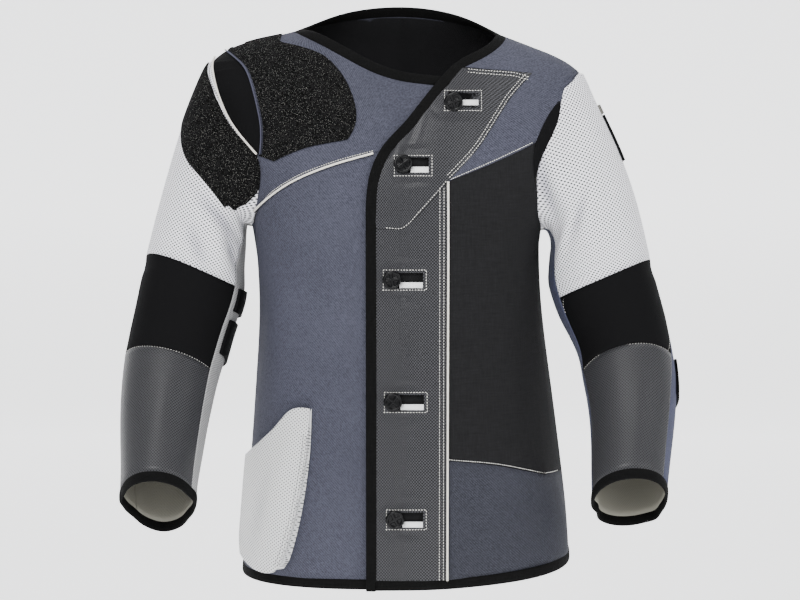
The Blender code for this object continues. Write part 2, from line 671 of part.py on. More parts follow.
def joined(left, right):
    """Two grids of places side by side, with one shared column."""
    return [first + second[1:] for first, second in zip(left, right)]


def yoke_places(chest, gusset, neck):
    """Rows of places on the right yoke; its lines follow the outline of the patch on top of it."""
    outer = gusset + arm_places("right", 96, 144)
    inner = neck + straight(neck[-1], chest[-1], len(outer) - len(neck))[1:]
    edge = front_places(CHEST_PATCH_EDGE, PATCH_ROWS)
    below = straight(edge[-1], chest[PATCH_COLUMNS], len(outer) - 1 - PATCH_ROWS)
    foot = front_places(CHEST_PATCH_FOOT, PATCH_COLUMNS)
    foot[0], foot[-1] = outer[PATCH_ROWS], edge[-1]
    rest = len(chest) - 1 - PATCH_COLUMNS
    beyond = straight(edge[-1], inner[PATCH_ROWS], rest)
    upper = joined(filled(straight(outer[0], edge[0], PATCH_COLUMNS), foot, outer[:PATCH_ROWS + 1], edge),
                   filled(straight(edge[0], inner[0], rest), beyond, edge, inner[:PATCH_ROWS + 1]))
    lower = joined(filled(foot, chest[:PATCH_COLUMNS + 1], outer[PATCH_ROWS:], below),
                   filled(beyond, chest[PATCH_COLUMNS:], below, inner[PATCH_ROWS:]))
    return upper + lower[1:]


def right_front():
    """The right front: yoke, stretch gusset by the armhole, long lower panel and button stand."""
    chest, gusset, neck = chest_line(), right_gusset_line(), right_neck_line()
    torso_panel("right_front_yoke", yoke_places(chest, gusset, neck), "blue cloth")

    start = arm_places("right", 144, SIDE_SEAM_TURN)
    start += straight(start[-1], hem_place(SIDE_SEAM["right"]), 8)[1:]
    stand = down_front(STAND_X, chest[10], len(start) - 1)
    foot = straight(start[-1], stand[-1], 10)
    torso_panel("right_front_panel", filled(chest[:11], foot, start, stand), "blue cloth")
    outer = down_front(UNDERLAP_X, chest[12], len(start) - 1)
    foot = straight(stand[-1], outer[-1], 2)
    torso_panel("button_stand", filled(chest[10:], foot, stand, outer), "black cloth")

    seam = arm_places("right", 0, 96)
    torso_panel("right_gusset", between(gusset + [gusset[-1] + GUSSET_TIP], seam, 2), "black stretch")
    torso_strip("right_gusset_piping", gusset,
                round_profile(THIN_PIPING_RADIUS, CLOTH + THIN_PIPING_RADIUS + 2 * SEAM), "blue piping")
    piping = [place for place in chest if torso_point(*place)[0] < CHEST_PIPING_END[0]]
    piping[0] = piping[0] + (piping[1] - piping[0]) * CHEST_PIPING_START
    piping.append(on_torso(*CHEST_PIPING_END))
    torso_strip("chest_piping", piping, round_profile(PIPING_RADIUS, CLOTH + PIPING_RADIUS + 2 * SEAM),
                "cream piping")


def left_lines():
    """The lines that the left front's pieces share, by name."""
    top, corner, tip = (on_torso(*point) for point in (PLACKET_TOP, PLACKET_CORNER, PLACKET_TIP))
    seam = front_places(PLACKET_SEAM, 7)
    seam[-1] = tip
    gusset = front_places(GUSSET_LINE["left"], 5)
    slant = front_places(LEFT_CLOTH_EDGE[3:], 11)
    slant[0] = top
    return {
        "neck": straight(NECK["left"], top, 6),
        "top": straight(top, corner, 5),
        "diagonal": front_places(PLACKET_EDGE, 8),
        "seam": seam,
        "gusset": gusset,
        "slant": slant + straight(slant[-1], seam[0], 2)[1:],
        "yoke foot": straight(tip, gusset[3], 6),
        "edge": down_front(CLOTH_EDGE_X, seam[0], 12),
        "placket": down_front(PLACKET_X, tip, 12),
    }


def left_front():
    """The left front: yoke, placket in two parts, side panel, hem panel and stretch gusset."""
    line = left_lines()
    outer = straight(NECK["left"], SHOULDER["left"], 5) + arm_places("left", 0, 48)[1:] + line["gusset"][:4]
    inner = line["top"] + line["diagonal"][1:]
    torso_panel("left_front_yoke", between(outer, inner, 6), "blue cloth", lifted=True)

    right = line["diagonal"] + line["seam"][::-1][1:6]
    torso_panel("placket_upper", between(line["slant"], right, 5), "grey leather", lifted=True)
    foot = straight(line["edge"][-1], line["placket"][-1], 7)
    torso_panel("placket_lower", filled(line["seam"], foot, line["edge"], line["placket"]), "grey leather",
                lifted=True)
    torso_strip("placket_piping", line["placket"],
                round_profile(PIPING_RADIUS, CLOTH + PIPING_RADIUS + 2 * SEAM), "cream piping", lifted=True)
    left_side(line)
    seam = arm_places("left", 48, 108)
    torso_panel("left_gusset", between(line["gusset"], seam, 1), "black stretch")


def left_side(line):
    """The woven side panel on the left, with the hem panel under it."""
    foot_level = np.array((SIDE_SEAM["left"], on_torso(*SIDE_PANEL_FOOT[-1])[1] - 0.002))
    end = line["gusset"][3:] + arm_places("left", 108, SIDE_SEAM_TURN)
    end += straight(end[-1], foot_level, 6)[1:]
    start = down_front(PLACKET_X, line["yoke foot"][0], len(end) - 1, on_torso(*SIDE_PANEL_FOOT[0])[1])
    foot = front_places(SIDE_PANEL_FOOT, 5) + [foot_level]
    foot[0] = start[-1]
    torso_panel("left_side_panel", filled(line["yoke foot"], foot, start, end), "black cloth", lifted=True)
    start = down_front(PLACKET_X, foot[0], 4)
    end = straight(foot_level, hem_place(SIDE_SEAM["left"]), 4)
    torso_panel("left_hem_panel", filled(foot, straight(start[-1], end[-1], 6), start, end), "blue cloth",
                lifted=True)


def edge_bindings():
    """Bound edges of the neck, the left front and the hem."""
    band = mirrored(band_profile(SEAM * 1.5, BINDING_WIDTH, -BINDING_WRAP, CLOTH + BINDING_WRAP))
    neck = right_neck_line()[::-1] + straight(NECK["right"], (0.0, NECK_HEIGHT), BACK_COLUMNS)[1:]
    neck[-1] = neck[-1] + (NECK_JOIN, 0)
    torso_strip("neck_binding", neck, band, "binding")
    line = left_lines()
    edge = line["neck"] + line["slant"][1:] + line["edge"][1:]
    edge[0] = edge[0] - (NECK_JOIN, 0)
    edge.append(edge[-1] - (0, BINDING_WIDTH))
    torso_strip("front_edge_binding", edge, band, "binding", lifted=True)
    start = line["edge"][-1] + (HEM_START, 0)
    end = down_front(UNDERLAP_X, on_torso(UNDERLAP_X, -0.3), 1)[-1] + (360.0, 0)
    torso_strip("hem_binding", straight(start, end, 40), band, "binding", lifted=True)


def mirrored(profile):
    """The same profile on the other side of its line."""
    return [(-across, out) for across, out in reversed(profile)]


# ---- sleeves -----------------------------------------------------------------------------------------
SLEEVES = {"right": RIGHT_SLEEVE, "left": LEFT_SLEEVE}
OUTWARD = {"right": -1.0, "left": 1.0}


def table_ring(row, around):
    """Point on one ring of the sleeve table at an angle."""
    outer_x, outer_z, inner_x, inner_z, y, depth, pitch = row
    outer, inner = np.array((outer_x, y, outer_z)), np.array((inner_x, y, inner_z))
    turn, lean = math.radians(around), math.radians(pitch)
    forward = np.array((0.0, -math.cos(lean), math.sin(lean)))
    c, s = math.cos(turn), math.sin(turn)
    swell = (abs(c)**SLEEVE_ROUNDNESS + abs(s)**SLEEVE_ROUNDNESS) ** (-1 / SLEEVE_ROUNDNESS)
    return (outer + inner) / 2 + (outer - inner) / 2 * c * swell + forward * depth * s * swell


def sleeve_rings(side, around):
    """The sleeve's points at one angle, from the armhole down to the wrist."""
    head = torso_point(*armhole(side, around))
    c = math.cos(math.radians(around))
    out, down, further = SLEEVE_HEAD
    step = np.array((OUTWARD[side] * out, 0.0, -down - further * c))
    return [head, head + step] + [table_ring(row, around) for row in SLEEVES[side]]


def fold_height(side, ring, around):
    """How far the folds raise or sink the sleeve's cloth at a place."""
    total = 0.0
    for middle, angle, long, wide, height, slant in SLEEVE_FOLDS[side]:
        along = (ring - middle) / long
        turn = (around - angle - slant * (ring - middle) + 180) % 360 - 180
        total += height * math.exp(-along * along - (turn / wide) ** 2)
    return total


def sleeve_bare(side, ring, around):
    """Point on the sleeve's smooth form, without its folds."""
    points = sleeve_rings(side, around)
    return through(list(range(len(points))), points, ring)


def sleeve_normal(side, ring, around):
    """Outward direction of the sleeve's face."""
    below, above = min(ring + 0.02, SLEEVE_END), max(ring - 0.02, 0)
    along = sleeve_bare(side, below, around) - sleeve_bare(side, above, around)
    across = sleeve_bare(side, ring, around + 1.0) - sleeve_bare(side, ring, around - 1.0)
    normal = np.cross(across, along) * OUTWARD[side]
    return normal / np.linalg.norm(normal)


def armhole_way(side, around):
    """The way both walls' thickness goes where the sleeve meets the torso, halfway between them."""
    both = torso_normal(*armhole(side, around)) + sleeve_normal(side, 0.0, around)
    return both * 2 / np.dot(both, both)


def sleeve_point(side, ring, around, out=0.0):
    """Point on the sleeve, moved out along the cloth's own direction."""
    point = sleeve_bare(side, ring, around)
    if ring == 0:
        return point + armhole_way(side, around) * out
    return point + sleeve_normal(side, ring, around) * (out + fold_height(side, ring, around))


def seam_angle(side, name, ring):
    """Angle of a lengthwise seam at a ring."""
    table = SLEEVE_SEAMS[side]
    return through(list(table["ring"]), list(table[name]), ring)


def cross_seam(table, side, around):
    """Ring of a crosswise seam at an angle."""
    ring, front, inside = table[side]
    turn = math.radians(around)
    return ring + front * math.sin(turn) - inside * math.cos(turn)


def sleeve_panel(name, side, places, cloth):
    """A piece of the sleeve that fills rows of (ring, angle) places."""
    inner = [[sleeve_point(side, ring, around) for ring, around in row] for row in places]
    outer = [[sleeve_point(side, ring, around, CLOTH) for ring, around in row] for row in places]
    closed_wall(name, pull_in(inner, SLEEVE_GAPS), pull_in(outer, SLEEVE_GAPS), cloth)


def sleeve_stations(side, around):
    """Rings of the rows along the sleeve at an angle: upper, elbow and forearm."""
    seams = (0.0, cross_seam(ELBOW_TOP, side, around), cross_seam(ELBOW_FOOT, side, around), CUFF_RING)
    stations = [[start + (end - start) * i / count for i in range(count + 1)]
                for start, end, count in zip(seams, seams[1:], SLEEVE_ROWS)]
    if side == "right":
        foot = float(np.interp(around, *zip(*SLEEVE_PATCH_FOOT)))
        top, bottom = SLEEVE_PATCH_ROWS
        stations[0][top:bottom + 1] = np.linspace(SLEEVE_PATCH_TOP, foot, bottom - top + 1)
        stations[0][bottom:] = np.linspace(foot, seams[1], SLEEVE_ROWS[0] - bottom + 1)
    return stations


def front_place(side, part, row, share):
    """Ring and angle of a point on the sleeve's front, a share of the way round from the low seam."""
    guess = seam_angle(side, "low", 5) * (1 - share) + seam_angle(side, "high", 5) * share
    ring = sleeve_stations(side, guess)[part][row]
    angle = seam_angle(side, "low", ring) * (1 - share) + seam_angle(side, "high", ring) * share
    if side == "right" and part == 0 and 0 < row < SLEEVE_ROWS[0]:
        degrees, middle, long, spot, wide = SLEEVE_PATCH_BULGE
        angle += degrees * math.exp(-((ring - middle) / long) ** 2) * max(0.0, 1 - abs(share - spot) / wide)
    return ring, angle


def sleeve(side):
    """One sleeve: upper, elbow and forearm pieces in front, one long under piece, a bound cuff."""
    low, high = seam_angle(side, "low", 0), seam_angle(side, "high", 0)
    front_count = round((high - low) / ARM_STEP)
    under_count = round((low + 360 - high) / ARM_STEP)

    pieces = (("_sleeve_upper", "white leather"), ("_elbow", "black stretch"), ("_forearm", "grey leather"))
    for part, (name, cloth) in enumerate(pieces):
        places = [[front_place(side, part, i, j / front_count) for j in range(front_count + 1)]
                  for i in range(SLEEVE_ROWS[part] + 1)]
        sleeve_panel(side + name, side, places, cloth)
    under = []
    for part, count in enumerate(SLEEVE_ROWS):
        for i in range(0 if part == 0 else 1, count + 1):
            start = np.array(front_place(side, part, i, 1.0))
            end = np.array(front_place(side, part, i, 0.0)) + (0, 360)
            under.append([start + (end - start) * j / under_count for j in range(under_count + 1)])
    sleeve_panel(side + "_under_sleeve", side, under, "blue cloth" if side == "left" else "pale grey mesh")
    turns = [360 * k / CUFF_SIDES for k in range(CUFF_SIDES)]
    points = [sleeve_point(side, CUFF_RING, turn) for turn in turns]
    normals = [sleeve_normal(side, CUFF_RING, turn) for turn in turns]
    band = band_profile(SEAM, BINDING_WIDTH, -BINDING_WRAP, CLOTH + BINDING_WRAP)
    band = mirrored(band) if side == "right" else band
    swept(side + "_cuff_binding", points, normals, band, "binding", ring=True)


def patches():
    """The rough rubber patches over the right shoulder and on the head of the right sleeve."""
    overlay("chest_patch", "right_front_yoke", (0, PATCH_ROWS), (0, PATCH_COLUMNS), OVERLAY, "grit rubber",
            gaps=(0.0, 0.0, CHEST_PATCH_INSET, 0.0))
    overlay("right_sleeve_patch", "right_sleeve_upper", SLEEVE_PATCH_ROWS, SLEEVE_PATCH_COLUMNS, OVERLAY,
            "grit rubber")


def armhole_piping():
    """The white piping along the front of the right armhole, just on the body's side of the seam."""
    places = arm_places("right", 0, 96)
    points = [torso_point(*place) for place in places]
    normals = [torso_normal(*place) for place in places]
    ring = round_profile(PIPING_RADIUS, CLOTH + PIPING_RADIUS + SEAM)
    profile = [(across + PIPING_RADIUS + 2 * SEAM, out) for across, out in ring]
    swept("right_armhole_piping", points, normals, profile, "cream piping")


# ---- bellows pocket -----------------------------------------------------------------------------------
def pocket_out(x, z):
    """How far the pocket's front stands out from the cloth at (x, z)."""
    top, foot = POCKET_MOUTH[0][1], POCKET_FOOT[2][1]
    down = min(max((top - z) / (top - foot), 0.0), 1.0)
    across = min(max((x - POCKET_SIDE_X) / (POCKET_FULL_X - POCKET_SIDE_X), 0.0), 1.0)
    swell = POCKET_SIDE_SHARE + (1 - POCKET_SIDE_SHARE) * across * across * (3 - 2 * across)
    down = math.sin(down * math.pi / 2) ** POCKET_SAG
    return POCKET_OUT_TOP + (POCKET_OUT_FOOT - POCKET_OUT_TOP) * swell * down


def pocket():
    """The pocket: a perforated leather front, and a folded wall that joins it to the jacket."""
    left, right = front_places(POCKET_LEFT, 8), front_places(POCKET_RIGHT, 8)
    mouth = front_places((POCKET_RIGHT[0],) + POCKET_MOUTH, 8)[::-1]
    foot = front_places(POCKET_FOOT, 8)
    mouth[0], mouth[-1], foot[0], foot[-1] = left[0], right[0], left[-1], right[-1]
    places = filled(mouth, foot, left, right)
    grids = []
    for layer in (0.0, POCKET_THICK):
        grid = []
        for row in places:
            line = []
            for place in row:
                base = torso_point(*place)
                out = CLOTH + pocket_out(base[0], base[2]) + layer
                line.append(base + torso_normal(*place) * out)
            grid.append(line)
        grids.append(grid)
    closed_wall("pocket_front", *grids, "pale leather")
    bellows(left + foot[1:-1] + right[::-1])


def bellows(rim):
    """The pocket's folded side wall, round its left, bottom and right edges, open at the mouth."""
    inner, outer = [], []
    centre = sum(torso_point(*place) for place in rim) / len(rim)
    for place in rim:
        base, normal = torso_point(*place), torso_normal(*place)
        inward = centre - base
        inward -= normal * np.dot(inward, normal)
        inward /= np.linalg.norm(inward)
        deep = pocket_out(base[0], base[2]) - 2 * SEAM
        lines = [base + normal * (CLOTH + SEAM + deep * share) + inward * POCKET_FOLD * bend
                 for share, bend in BELLOWS_FOLD]
        inner.append([point + inward * POCKET_THICK for point in lines])
        outer.append(lines)
    closed_wall("pocket_bellows", inner, outer, "pale leather")


# ---- buttons and their slots --------------------------------------------------------------------------
BOX_FACES = [[3, 2, 1, 0], [4, 5, 6, 7], [0, 1, 5, 4], [1, 2, 6, 5], [2, 3, 7, 6], [3, 0, 4, 7]]


def turned(name, base, axis, profile, cloth, sides=20):
    """A round piece from (radius, height) points, turned about an axis that leaves base."""
    axis = axis / np.linalg.norm(axis)
    first = np.cross(axis, (0.0, 0.0, 1.0))
    first /= np.linalg.norm(first)
    second = np.cross(axis, first)
    points, faces = [], []
    for radius, height in profile:
        for k in range(sides):
            turn = 2 * math.pi * k / sides
            points.append(base + axis * height + (first * math.cos(turn) + second * math.sin(turn)) * radius)
    for i in range(len(profile) - 1):
        for k in range(sides):
            after = (k + 1) % sides
            faces.append([i * sides + k, i * sides + after, (i + 1) * sides + after, (i + 1) * sides + k])
    faces.append(list(reversed(range(sides))))
    faces.append([(len(profile) - 1) * sides + k for k in range(sides)])
    return add_object(name, points, faces, cloth)


def front_frame(x, z):
    """Point, outward, level and upward directions of the left front's inner face at (x, z)."""
    place = on_torso(x, z)
    base = torso_point(*place)
    normal = torso_normal(*place)
    level = np.cross((0.0, 0.0, 1.0), normal)
    level /= np.linalg.norm(level)
    return base + normal * overlap_lift(place[0], base[0]), normal, level, np.cross(normal, level)


def slot_box(name, x, z, slot_end):
    """The cutter of one slot: from just inside the button's edge to the slot's end."""
    base, normal, level, up = front_frame(x, z)
    start, end = -SLOT_BEHIND, slot_end - x
    low, high = -SLOT_DOWN, SLOT_UP
    corners = []
    for out in SLOT_CUTTER:
        for across, rise in ((start, low), (end, low), (end, high), (start, high)):
            corners.append(base + level * across + up * rise + normal * out)
    cutter = add_object(name, corners, BOX_FACES, "binding")
    cutter.hide_render = True
    cutter.display_type = "WIRE"
    return cutter


def button_and_slot(number, x, z, slot_end):
    """One button with its shank through the slot, the slot, and the white tape along its foot."""
    panel = bpy.data.objects["placket_upper" if z > PLACKET_SEAM[0][1] else "placket_lower"]
    cut = panel.modifiers.new("slot_%d" % number, "BOOLEAN")
    cut.operation = "DIFFERENCE"
    cut.solver = "EXACT"
    cut.object = slot_box("slot_cutter_%d" % number, x, z, slot_end)
    base, normal, level, up = front_frame(x, z)
    low = -(overlap_lift(270.0, x) - CLOTH - SEAM)
    top = CLOTH + BUTTON_SPACE
    profile = [(SHANK_RADIUS, low), (SHANK_RADIUS, top)]
    profile += [(radius, top + height) for radius, height in BUTTON_HEAD]
    turned("button_%d" % number, base, normal, profile, "button plastic")
    tape(number, base, normal, level, up, slot_end - x)


def tape(number, base, normal, level, up, end):
    """The white tape that faces the lower half of a slot."""
    corners = []
    for out in TAPE_FACES:
        for across, rise in ((TAPE_START, -SLOT_DOWN + SEAM), (end - SEAM, -SLOT_DOWN + SEAM),
                             (end - SEAM, TAPE_TOP), (TAPE_START, TAPE_TOP)):
            corners.append(base + level * across + up * rise + normal * out)
    add_object("slot_tape_%d" % number, corners, BOX_FACES, "white leather")


# ---- straps and tabs of the sleeves ---------------------------------------------------------------------
def straps():
    """The tabs and adjusting straps that are sewn on the sleeves."""
    for name, panel, first_row, last_row, first_column, last_column, cloth in SLEEVE_TABS:
        overlay(name, panel, (first_row, last_row), (first_column, last_column), STRAP_THICK, cloth)


for side in SLEEVES:
    for turn in range(0, 360, ARM_STEP):
        ARMHOLE_WAYS[place_key(armhole(side, turn))] = armhole_way(side, turn)
clear_scene()
back_panel()
right_front()
left_front()
edge_bindings()
sleeve("right")
sleeve("left")
patches()
armhole_piping()
pocket()
straps()
for order, button in enumerate(BUTTONS, start=1):
    button_and_slot(order, *button)
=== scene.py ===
"""Looks of a target shooting jacket: cloth, leather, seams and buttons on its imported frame."""
import math

import bmesh
import bpy
import numpy as np
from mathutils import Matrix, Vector
from mathutils.bvhtree import BVHTree
from mathutils.kdtree import KDTree


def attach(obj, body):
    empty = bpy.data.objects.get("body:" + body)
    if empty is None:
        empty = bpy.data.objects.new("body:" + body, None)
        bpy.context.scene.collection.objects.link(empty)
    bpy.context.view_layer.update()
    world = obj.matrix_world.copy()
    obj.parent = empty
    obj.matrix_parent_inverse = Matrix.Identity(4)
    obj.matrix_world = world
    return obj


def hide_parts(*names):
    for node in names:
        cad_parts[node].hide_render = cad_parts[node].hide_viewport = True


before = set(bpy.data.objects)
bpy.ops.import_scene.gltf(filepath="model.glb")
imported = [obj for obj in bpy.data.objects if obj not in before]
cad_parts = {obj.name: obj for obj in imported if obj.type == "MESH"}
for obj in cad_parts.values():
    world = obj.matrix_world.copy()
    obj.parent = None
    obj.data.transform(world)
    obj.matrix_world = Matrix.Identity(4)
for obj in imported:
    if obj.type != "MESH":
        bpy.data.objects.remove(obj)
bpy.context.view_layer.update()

# ---- studio ---------------------------------------------------------------------------------------
# A pale floor that curves up into a wall behind, with broad soft lights on both sides and above.
# The camera stands square in front of the jacket and looks down a little.
def tone(red, green, blue):
    """A colour from its 0 to 255 values, as the shader wants it."""
    values = [channel / 255 for channel in (red, green, blue)]
    return tuple(((v + 0.055) / 1.055) ** 2.4 if v > 0.04045 else v / 12.92 for v in values) + (1.0,)


class Term:
    """A number inside a material's node tree, for use in Python sums."""

    def __init__(self, graph, socket):
        self.graph, self.socket = graph, socket

    def math(self, operation, *others, clamp=False):
        node = self.graph.tree.nodes.new("ShaderNodeMath")
        node.operation = operation
        node.use_clamp = clamp
        for socket, value in zip(node.inputs, (self, *others)):
            self.graph.plug(socket, value)
        return Term(self.graph, node.outputs[0])

    def __add__(self, other):
        return self.math("ADD", other)

    __radd__ = __add__

    def __mul__(self, other):
        return self.math("MULTIPLY", other)

    __rmul__ = __mul__

    def __sub__(self, other):
        return self.math("SUBTRACT", other)

    def __rsub__(self, other):
        return (self * -1.0) + other

    def __truediv__(self, other):
        return self.math("DIVIDE", other)

    def clamped(self):
        return self.math("ADD", 0.0, clamp=True)

    def wave(self, pitch):
        """A sine of this number, which repeats at every pitch."""
        return (self * (2 * math.pi / pitch)).math("SINE")

    def below(self, edge, soft):
        """1 where this number is under the edge, fading to 0 over a soft width."""
        return ((edge - self) / soft + 0.5).clamped()


class Graph:
    """A material and its node tree."""

    def __init__(self, name):
        self.material = bpy.data.materials.new(name)
        self.material.use_nodes = True
        self.tree = self.material.node_tree
        self.shader = self.tree.nodes["Principled BSDF"]

    def plug(self, socket, value):
        if isinstance(value, Term):
            self.tree.links.new(value.socket, socket)
        elif isinstance(value, bpy.types.NodeSocket):
            self.tree.links.new(value, socket)
        else:
            socket.default_value = value

    def node(self, kind, settings=None, sockets=None):
        made = self.tree.nodes.new(kind)
        for name, value in (settings or {}).items():
            setattr(made, name, value)
        for name, value in (sockets or {}).items():
            self.plug(next(s for s in made.inputs if name in (s.identifier, s.name)), value)
        return made

    def finish(self, **sockets):
        for name, value in sockets.items():
            self.plug(self.shader.inputs[name.replace("_", " ")], value)
        return self.material

    def place(self):
        """The cloth's own coordinates: across and up in metres, and 1 on the outer face."""
        read = self.node("ShaderNodeAttribute", {"attribute_name": "cloth"})
        split = self.node("ShaderNodeSeparateXYZ", sockets={"Vector": read.outputs["Vector"]})
        return [Term(self, socket) for socket in split.outputs]

    def noise(self, scale, detail=3.0, stretch=(1.0, 1.0, 1.0)):
        """Noise on the object's coordinates."""
        where = self.node("ShaderNodeTexCoord")
        pulled = self.node("ShaderNodeMapping", sockets={"Vector": where.outputs["Object"], "Scale": stretch})
        made = self.node("ShaderNodeTexNoise", sockets={
            "Vector": pulled.outputs["Vector"], "Scale": scale, "Detail": detail})
        return Term(self, made.outputs["Fac"])

    def mix(self, factor, first, second):
        """A colour between two, by a factor: the node's third output is its colour."""
        made = self.node("ShaderNodeMix", {"data_type": "RGBA"}, {
            "Factor_Float": factor, "A_Color": first, "B_Color": second})
        return made.outputs[2]

    def bump(self, height, distance, strength=1.0):
        made = self.node("ShaderNodeBump", sockets={
            "Height": height, "Distance": distance, "Strength": strength})
        return made.outputs["Normal"]


graph = Graph("studio")
studio = graph.finish(Base_Color=tone(250, 250, 251), Roughness=1.0, Emission_Color=tone(255, 255, 255),
                      Emission_Strength=1.2)
floor_z, wall_y, wall_top, bend, reach = -1.45, 6.0, 4.0, 0.9, 8.0
profile = [(-reach, floor_z), (wall_y - bend, floor_z)]
profile += [(wall_y - bend + bend * math.sin(t), floor_z + bend - bend * math.cos(t))
            for t in np.linspace(0.1, math.pi / 2, 16)]
profile.append((wall_y, wall_top))
mesh = bpy.data.meshes.new("studio")
mesh.from_pydata([(x, y, z) for y, z in profile for x in (-reach, reach)], [],
                 [(2 * i, 2 * i + 1, 2 * i + 3, 2 * i + 2) for i in range(len(profile) - 1)])
mesh.materials.append(studio)
mesh.shade_smooth()
floor = bpy.data.objects.new("studio", mesh)
bpy.context.scene.collection.objects.link(floor)

heart = Vector((0.0, 0.0, -0.35))
for name, spot, size, power in (
    ("key_light", (-0.9, -2.7, 1.9), 1.7, 140.0),
    ("fill_light", (2.2, -2.3, 0.9), 2.0, 55.0),
    ("top_light", (0.2, 0.4, 2.1), 2.0, 50.0),
    ("low_light", (0.0, -2.6, -1.2), 2.0, 12.0),
):
    light = bpy.data.lights.new(name, "AREA")
    light.shape = "SQUARE"
    light.size = size
    light.energy = power
    made = bpy.data.objects.new(name, light)
    made.location = spot
    made.rotation_euler = (heart - Vector(spot)).to_track_quat("-Z", "Y").to_euler()
    bpy.context.scene.collection.objects.link(made)

world = bpy.data.worlds.new("soft_room")
world.use_nodes = True
world.node_tree.nodes["Background"].inputs["Color"].default_value = (0.95, 0.97, 1.0, 1.0)
world.node_tree.nodes["Background"].inputs["Strength"].default_value = 0.72
bpy.context.scene.world = world

lens = bpy.data.cameras.new("camera")
lens.lens = 81.8
lens.sensor_width = 36.0
camera = bpy.data.objects.new("camera", lens)
camera.location = (0.0, -2.4, -0.1)
camera.rotation_euler = (math.radians(90 - 5.92), 0.0, 0.0)
bpy.context.scene.collection.objects.link(camera)
bpy.context.scene.camera = camera


# ---- blue cloth body ------------------------------------------------------------------------------
# The back, both yokes, the long right front and the left hem panel: stiff blue-grey twill on a black
# lining, cut flat and sewn edge to edge into the body of the jacket.
HALF_WIDTH, HALF_DEPTH, ROUNDNESS = 0.200, 0.125, 0.8
YOKE_FOOT, YOKE_LEAN, YOKE_DROP = -0.12, 3.2, 0.08
# how deep a trough is where its painted shade is full
FULL_SHADE_FOLD = 0.005


def cloth_height(height):
    """Up on the body's cloth for a height: the yokes lean back, so they are longer than they are high."""
    return height + YOKE_LEAN * np.maximum(height - YOKE_FOOT, 0.0) ** 2


def lengths(line):
    """How far along a line each of its points is."""
    return np.concatenate([[0.0], np.cumsum(np.linalg.norm(np.diff(line, axis=0), axis=1))])


def units(rows):
    """Directions of length 1."""
    return rows / np.maximum(np.linalg.norm(rows, axis=1, keepdims=True), 1e-9)


def torso_map(points):
    """Across and up on the body's cloth in metres, and the outward direction, for rows of points."""
    turn = np.linspace(-math.pi, math.pi, 721)
    c, s = np.cos(turn), np.sin(turn)
    ring = np.stack([HALF_WIDTH * np.sign(c) * abs(c) ** ROUNDNESS,
                     HALF_DEPTH * np.sign(s) * abs(s) ** ROUNDNESS], axis=1)
    arc = lengths(ring)
    angle = np.arctan2(points[:, 1] / HALF_DEPTH, points[:, 0] / HALF_WIDTH)
    angle = np.where(angle > math.pi / 2, angle - 2 * math.pi, angle)
    across = np.interp(angle, turn, arc)
    across += np.where(angle < -math.pi, arc[-1] * (angle + math.pi) / (2 * math.pi), 0.0)
    rise = np.maximum(points[:, 2] - YOKE_FOOT, 0.0)
    out = np.stack([points[:, 0] / HALF_WIDTH ** 2, points[:, 1] / HALF_DEPTH ** 2, rise / YOKE_DROP ** 2],
                   axis=1)
    return across, cloth_height(points[:, 2]), units(out)


def rows_of(items, key):
    """One measure of all the items of a mesh, as rows of three numbers."""
    flat = np.empty(len(items) * 3)
    items.foreach_get(key, flat)
    return flat.reshape(-1, 3)


def coordinates(mesh):
    return rows_of(mesh.vertices, "co")


def cloth_rows(mesh):
    """Across, up and outer of a mesh's points, as dressed stored them."""
    return rows_of(mesh.attributes["cloth"].data, "vector")


def dressed(made, mapped, creases=()):
    """Push listed creases into a piece, and store its cloth coordinates and how deep its folds are, for
    painted shade in their troughs.

    A crease is across, up, slant in degrees, half length, half width and height, in metres."""
    mesh = made.data
    points = coordinates(mesh)
    across, up, out = mapped(points)
    push = np.zeros(len(points))
    for u, v, slant, long, wide, height in creases:
        c, s = math.cos(math.radians(slant)), math.sin(math.radians(slant))
        du, dv = across - u, up - v
        push += height * np.exp(-((du * c + dv * s) / long) ** 2 - ((dv * c - du * s) / wide) ** 2)
    outer = ((rows_of(mesh.vertices, "normal") * out).sum(axis=1) > 0.0).astype(float)
    mesh.vertices.foreach_set("co", (points + out * push[:, None]).ravel())
    layer = mesh.attributes.new("cloth", "FLOAT_VECTOR", "POINT")
    layer.data.foreach_set("vector", np.stack([across, up, outer], axis=1).ravel())
    # painted shade: how deep each trough is, from 0 to 1, for the leathers to darken by
    fold_shade = mesh.attributes.new("fold_shade", "FLOAT", "POINT")
    fold_shade.data.foreach_set("value", np.clip(-push / FULL_SHADE_FOLD, 0.0, 1.0))
    mesh.update()
    return made


def added(name, mesh, material):
    """A finished piece that goes with the jacket's one body."""
    mesh.materials.clear()
    mesh.materials.append(material)
    made = bpy.data.objects.new(name, mesh)
    bpy.context.scene.collection.objects.link(made)
    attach(made, "root")
    return made


def tree_of(*objects, outer=False):
    """One search tree over the faces of several pieces, or over their outer faces only."""
    points, faces = [], []
    for made in objects:
        start = len(points)
        points += [vertex.co.copy() for vertex in made.data.vertices]
        shown = cloth_rows(made.data)[:, 2] if outer else np.ones(len(made.data.vertices))
        faces += [[start + index for index in face.vertices] for face in made.data.polygons
                  if min(shown[index] for index in face.vertices) > 0.5]
    return BVHTree.FromPolygons(points, faces)


SEWN = ["back_panel", "right_front_yoke", "right_front_panel", "button_stand", "right_gusset", "left_gusset",
        "left_front_yoke", "left_side_panel", "left_hem_panel", "placket_upper", "placket_lower",
        "neck_binding", "front_edge_binding", "hem_binding"]
SEWN += [side + piece for side in ("right", "left")
         for piece in ("_sleeve_upper", "_elbow", "_forearm", "_under_sleeve", "_cuff_binding")]
seam_trees = {node: tree_of(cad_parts[node]) for node in SEWN}
SEAM_REACH, SEAM_SHARE = 0.0012, 0.46
BINDING_LAP, BINDING_THICK = 0.0011, 0.0019


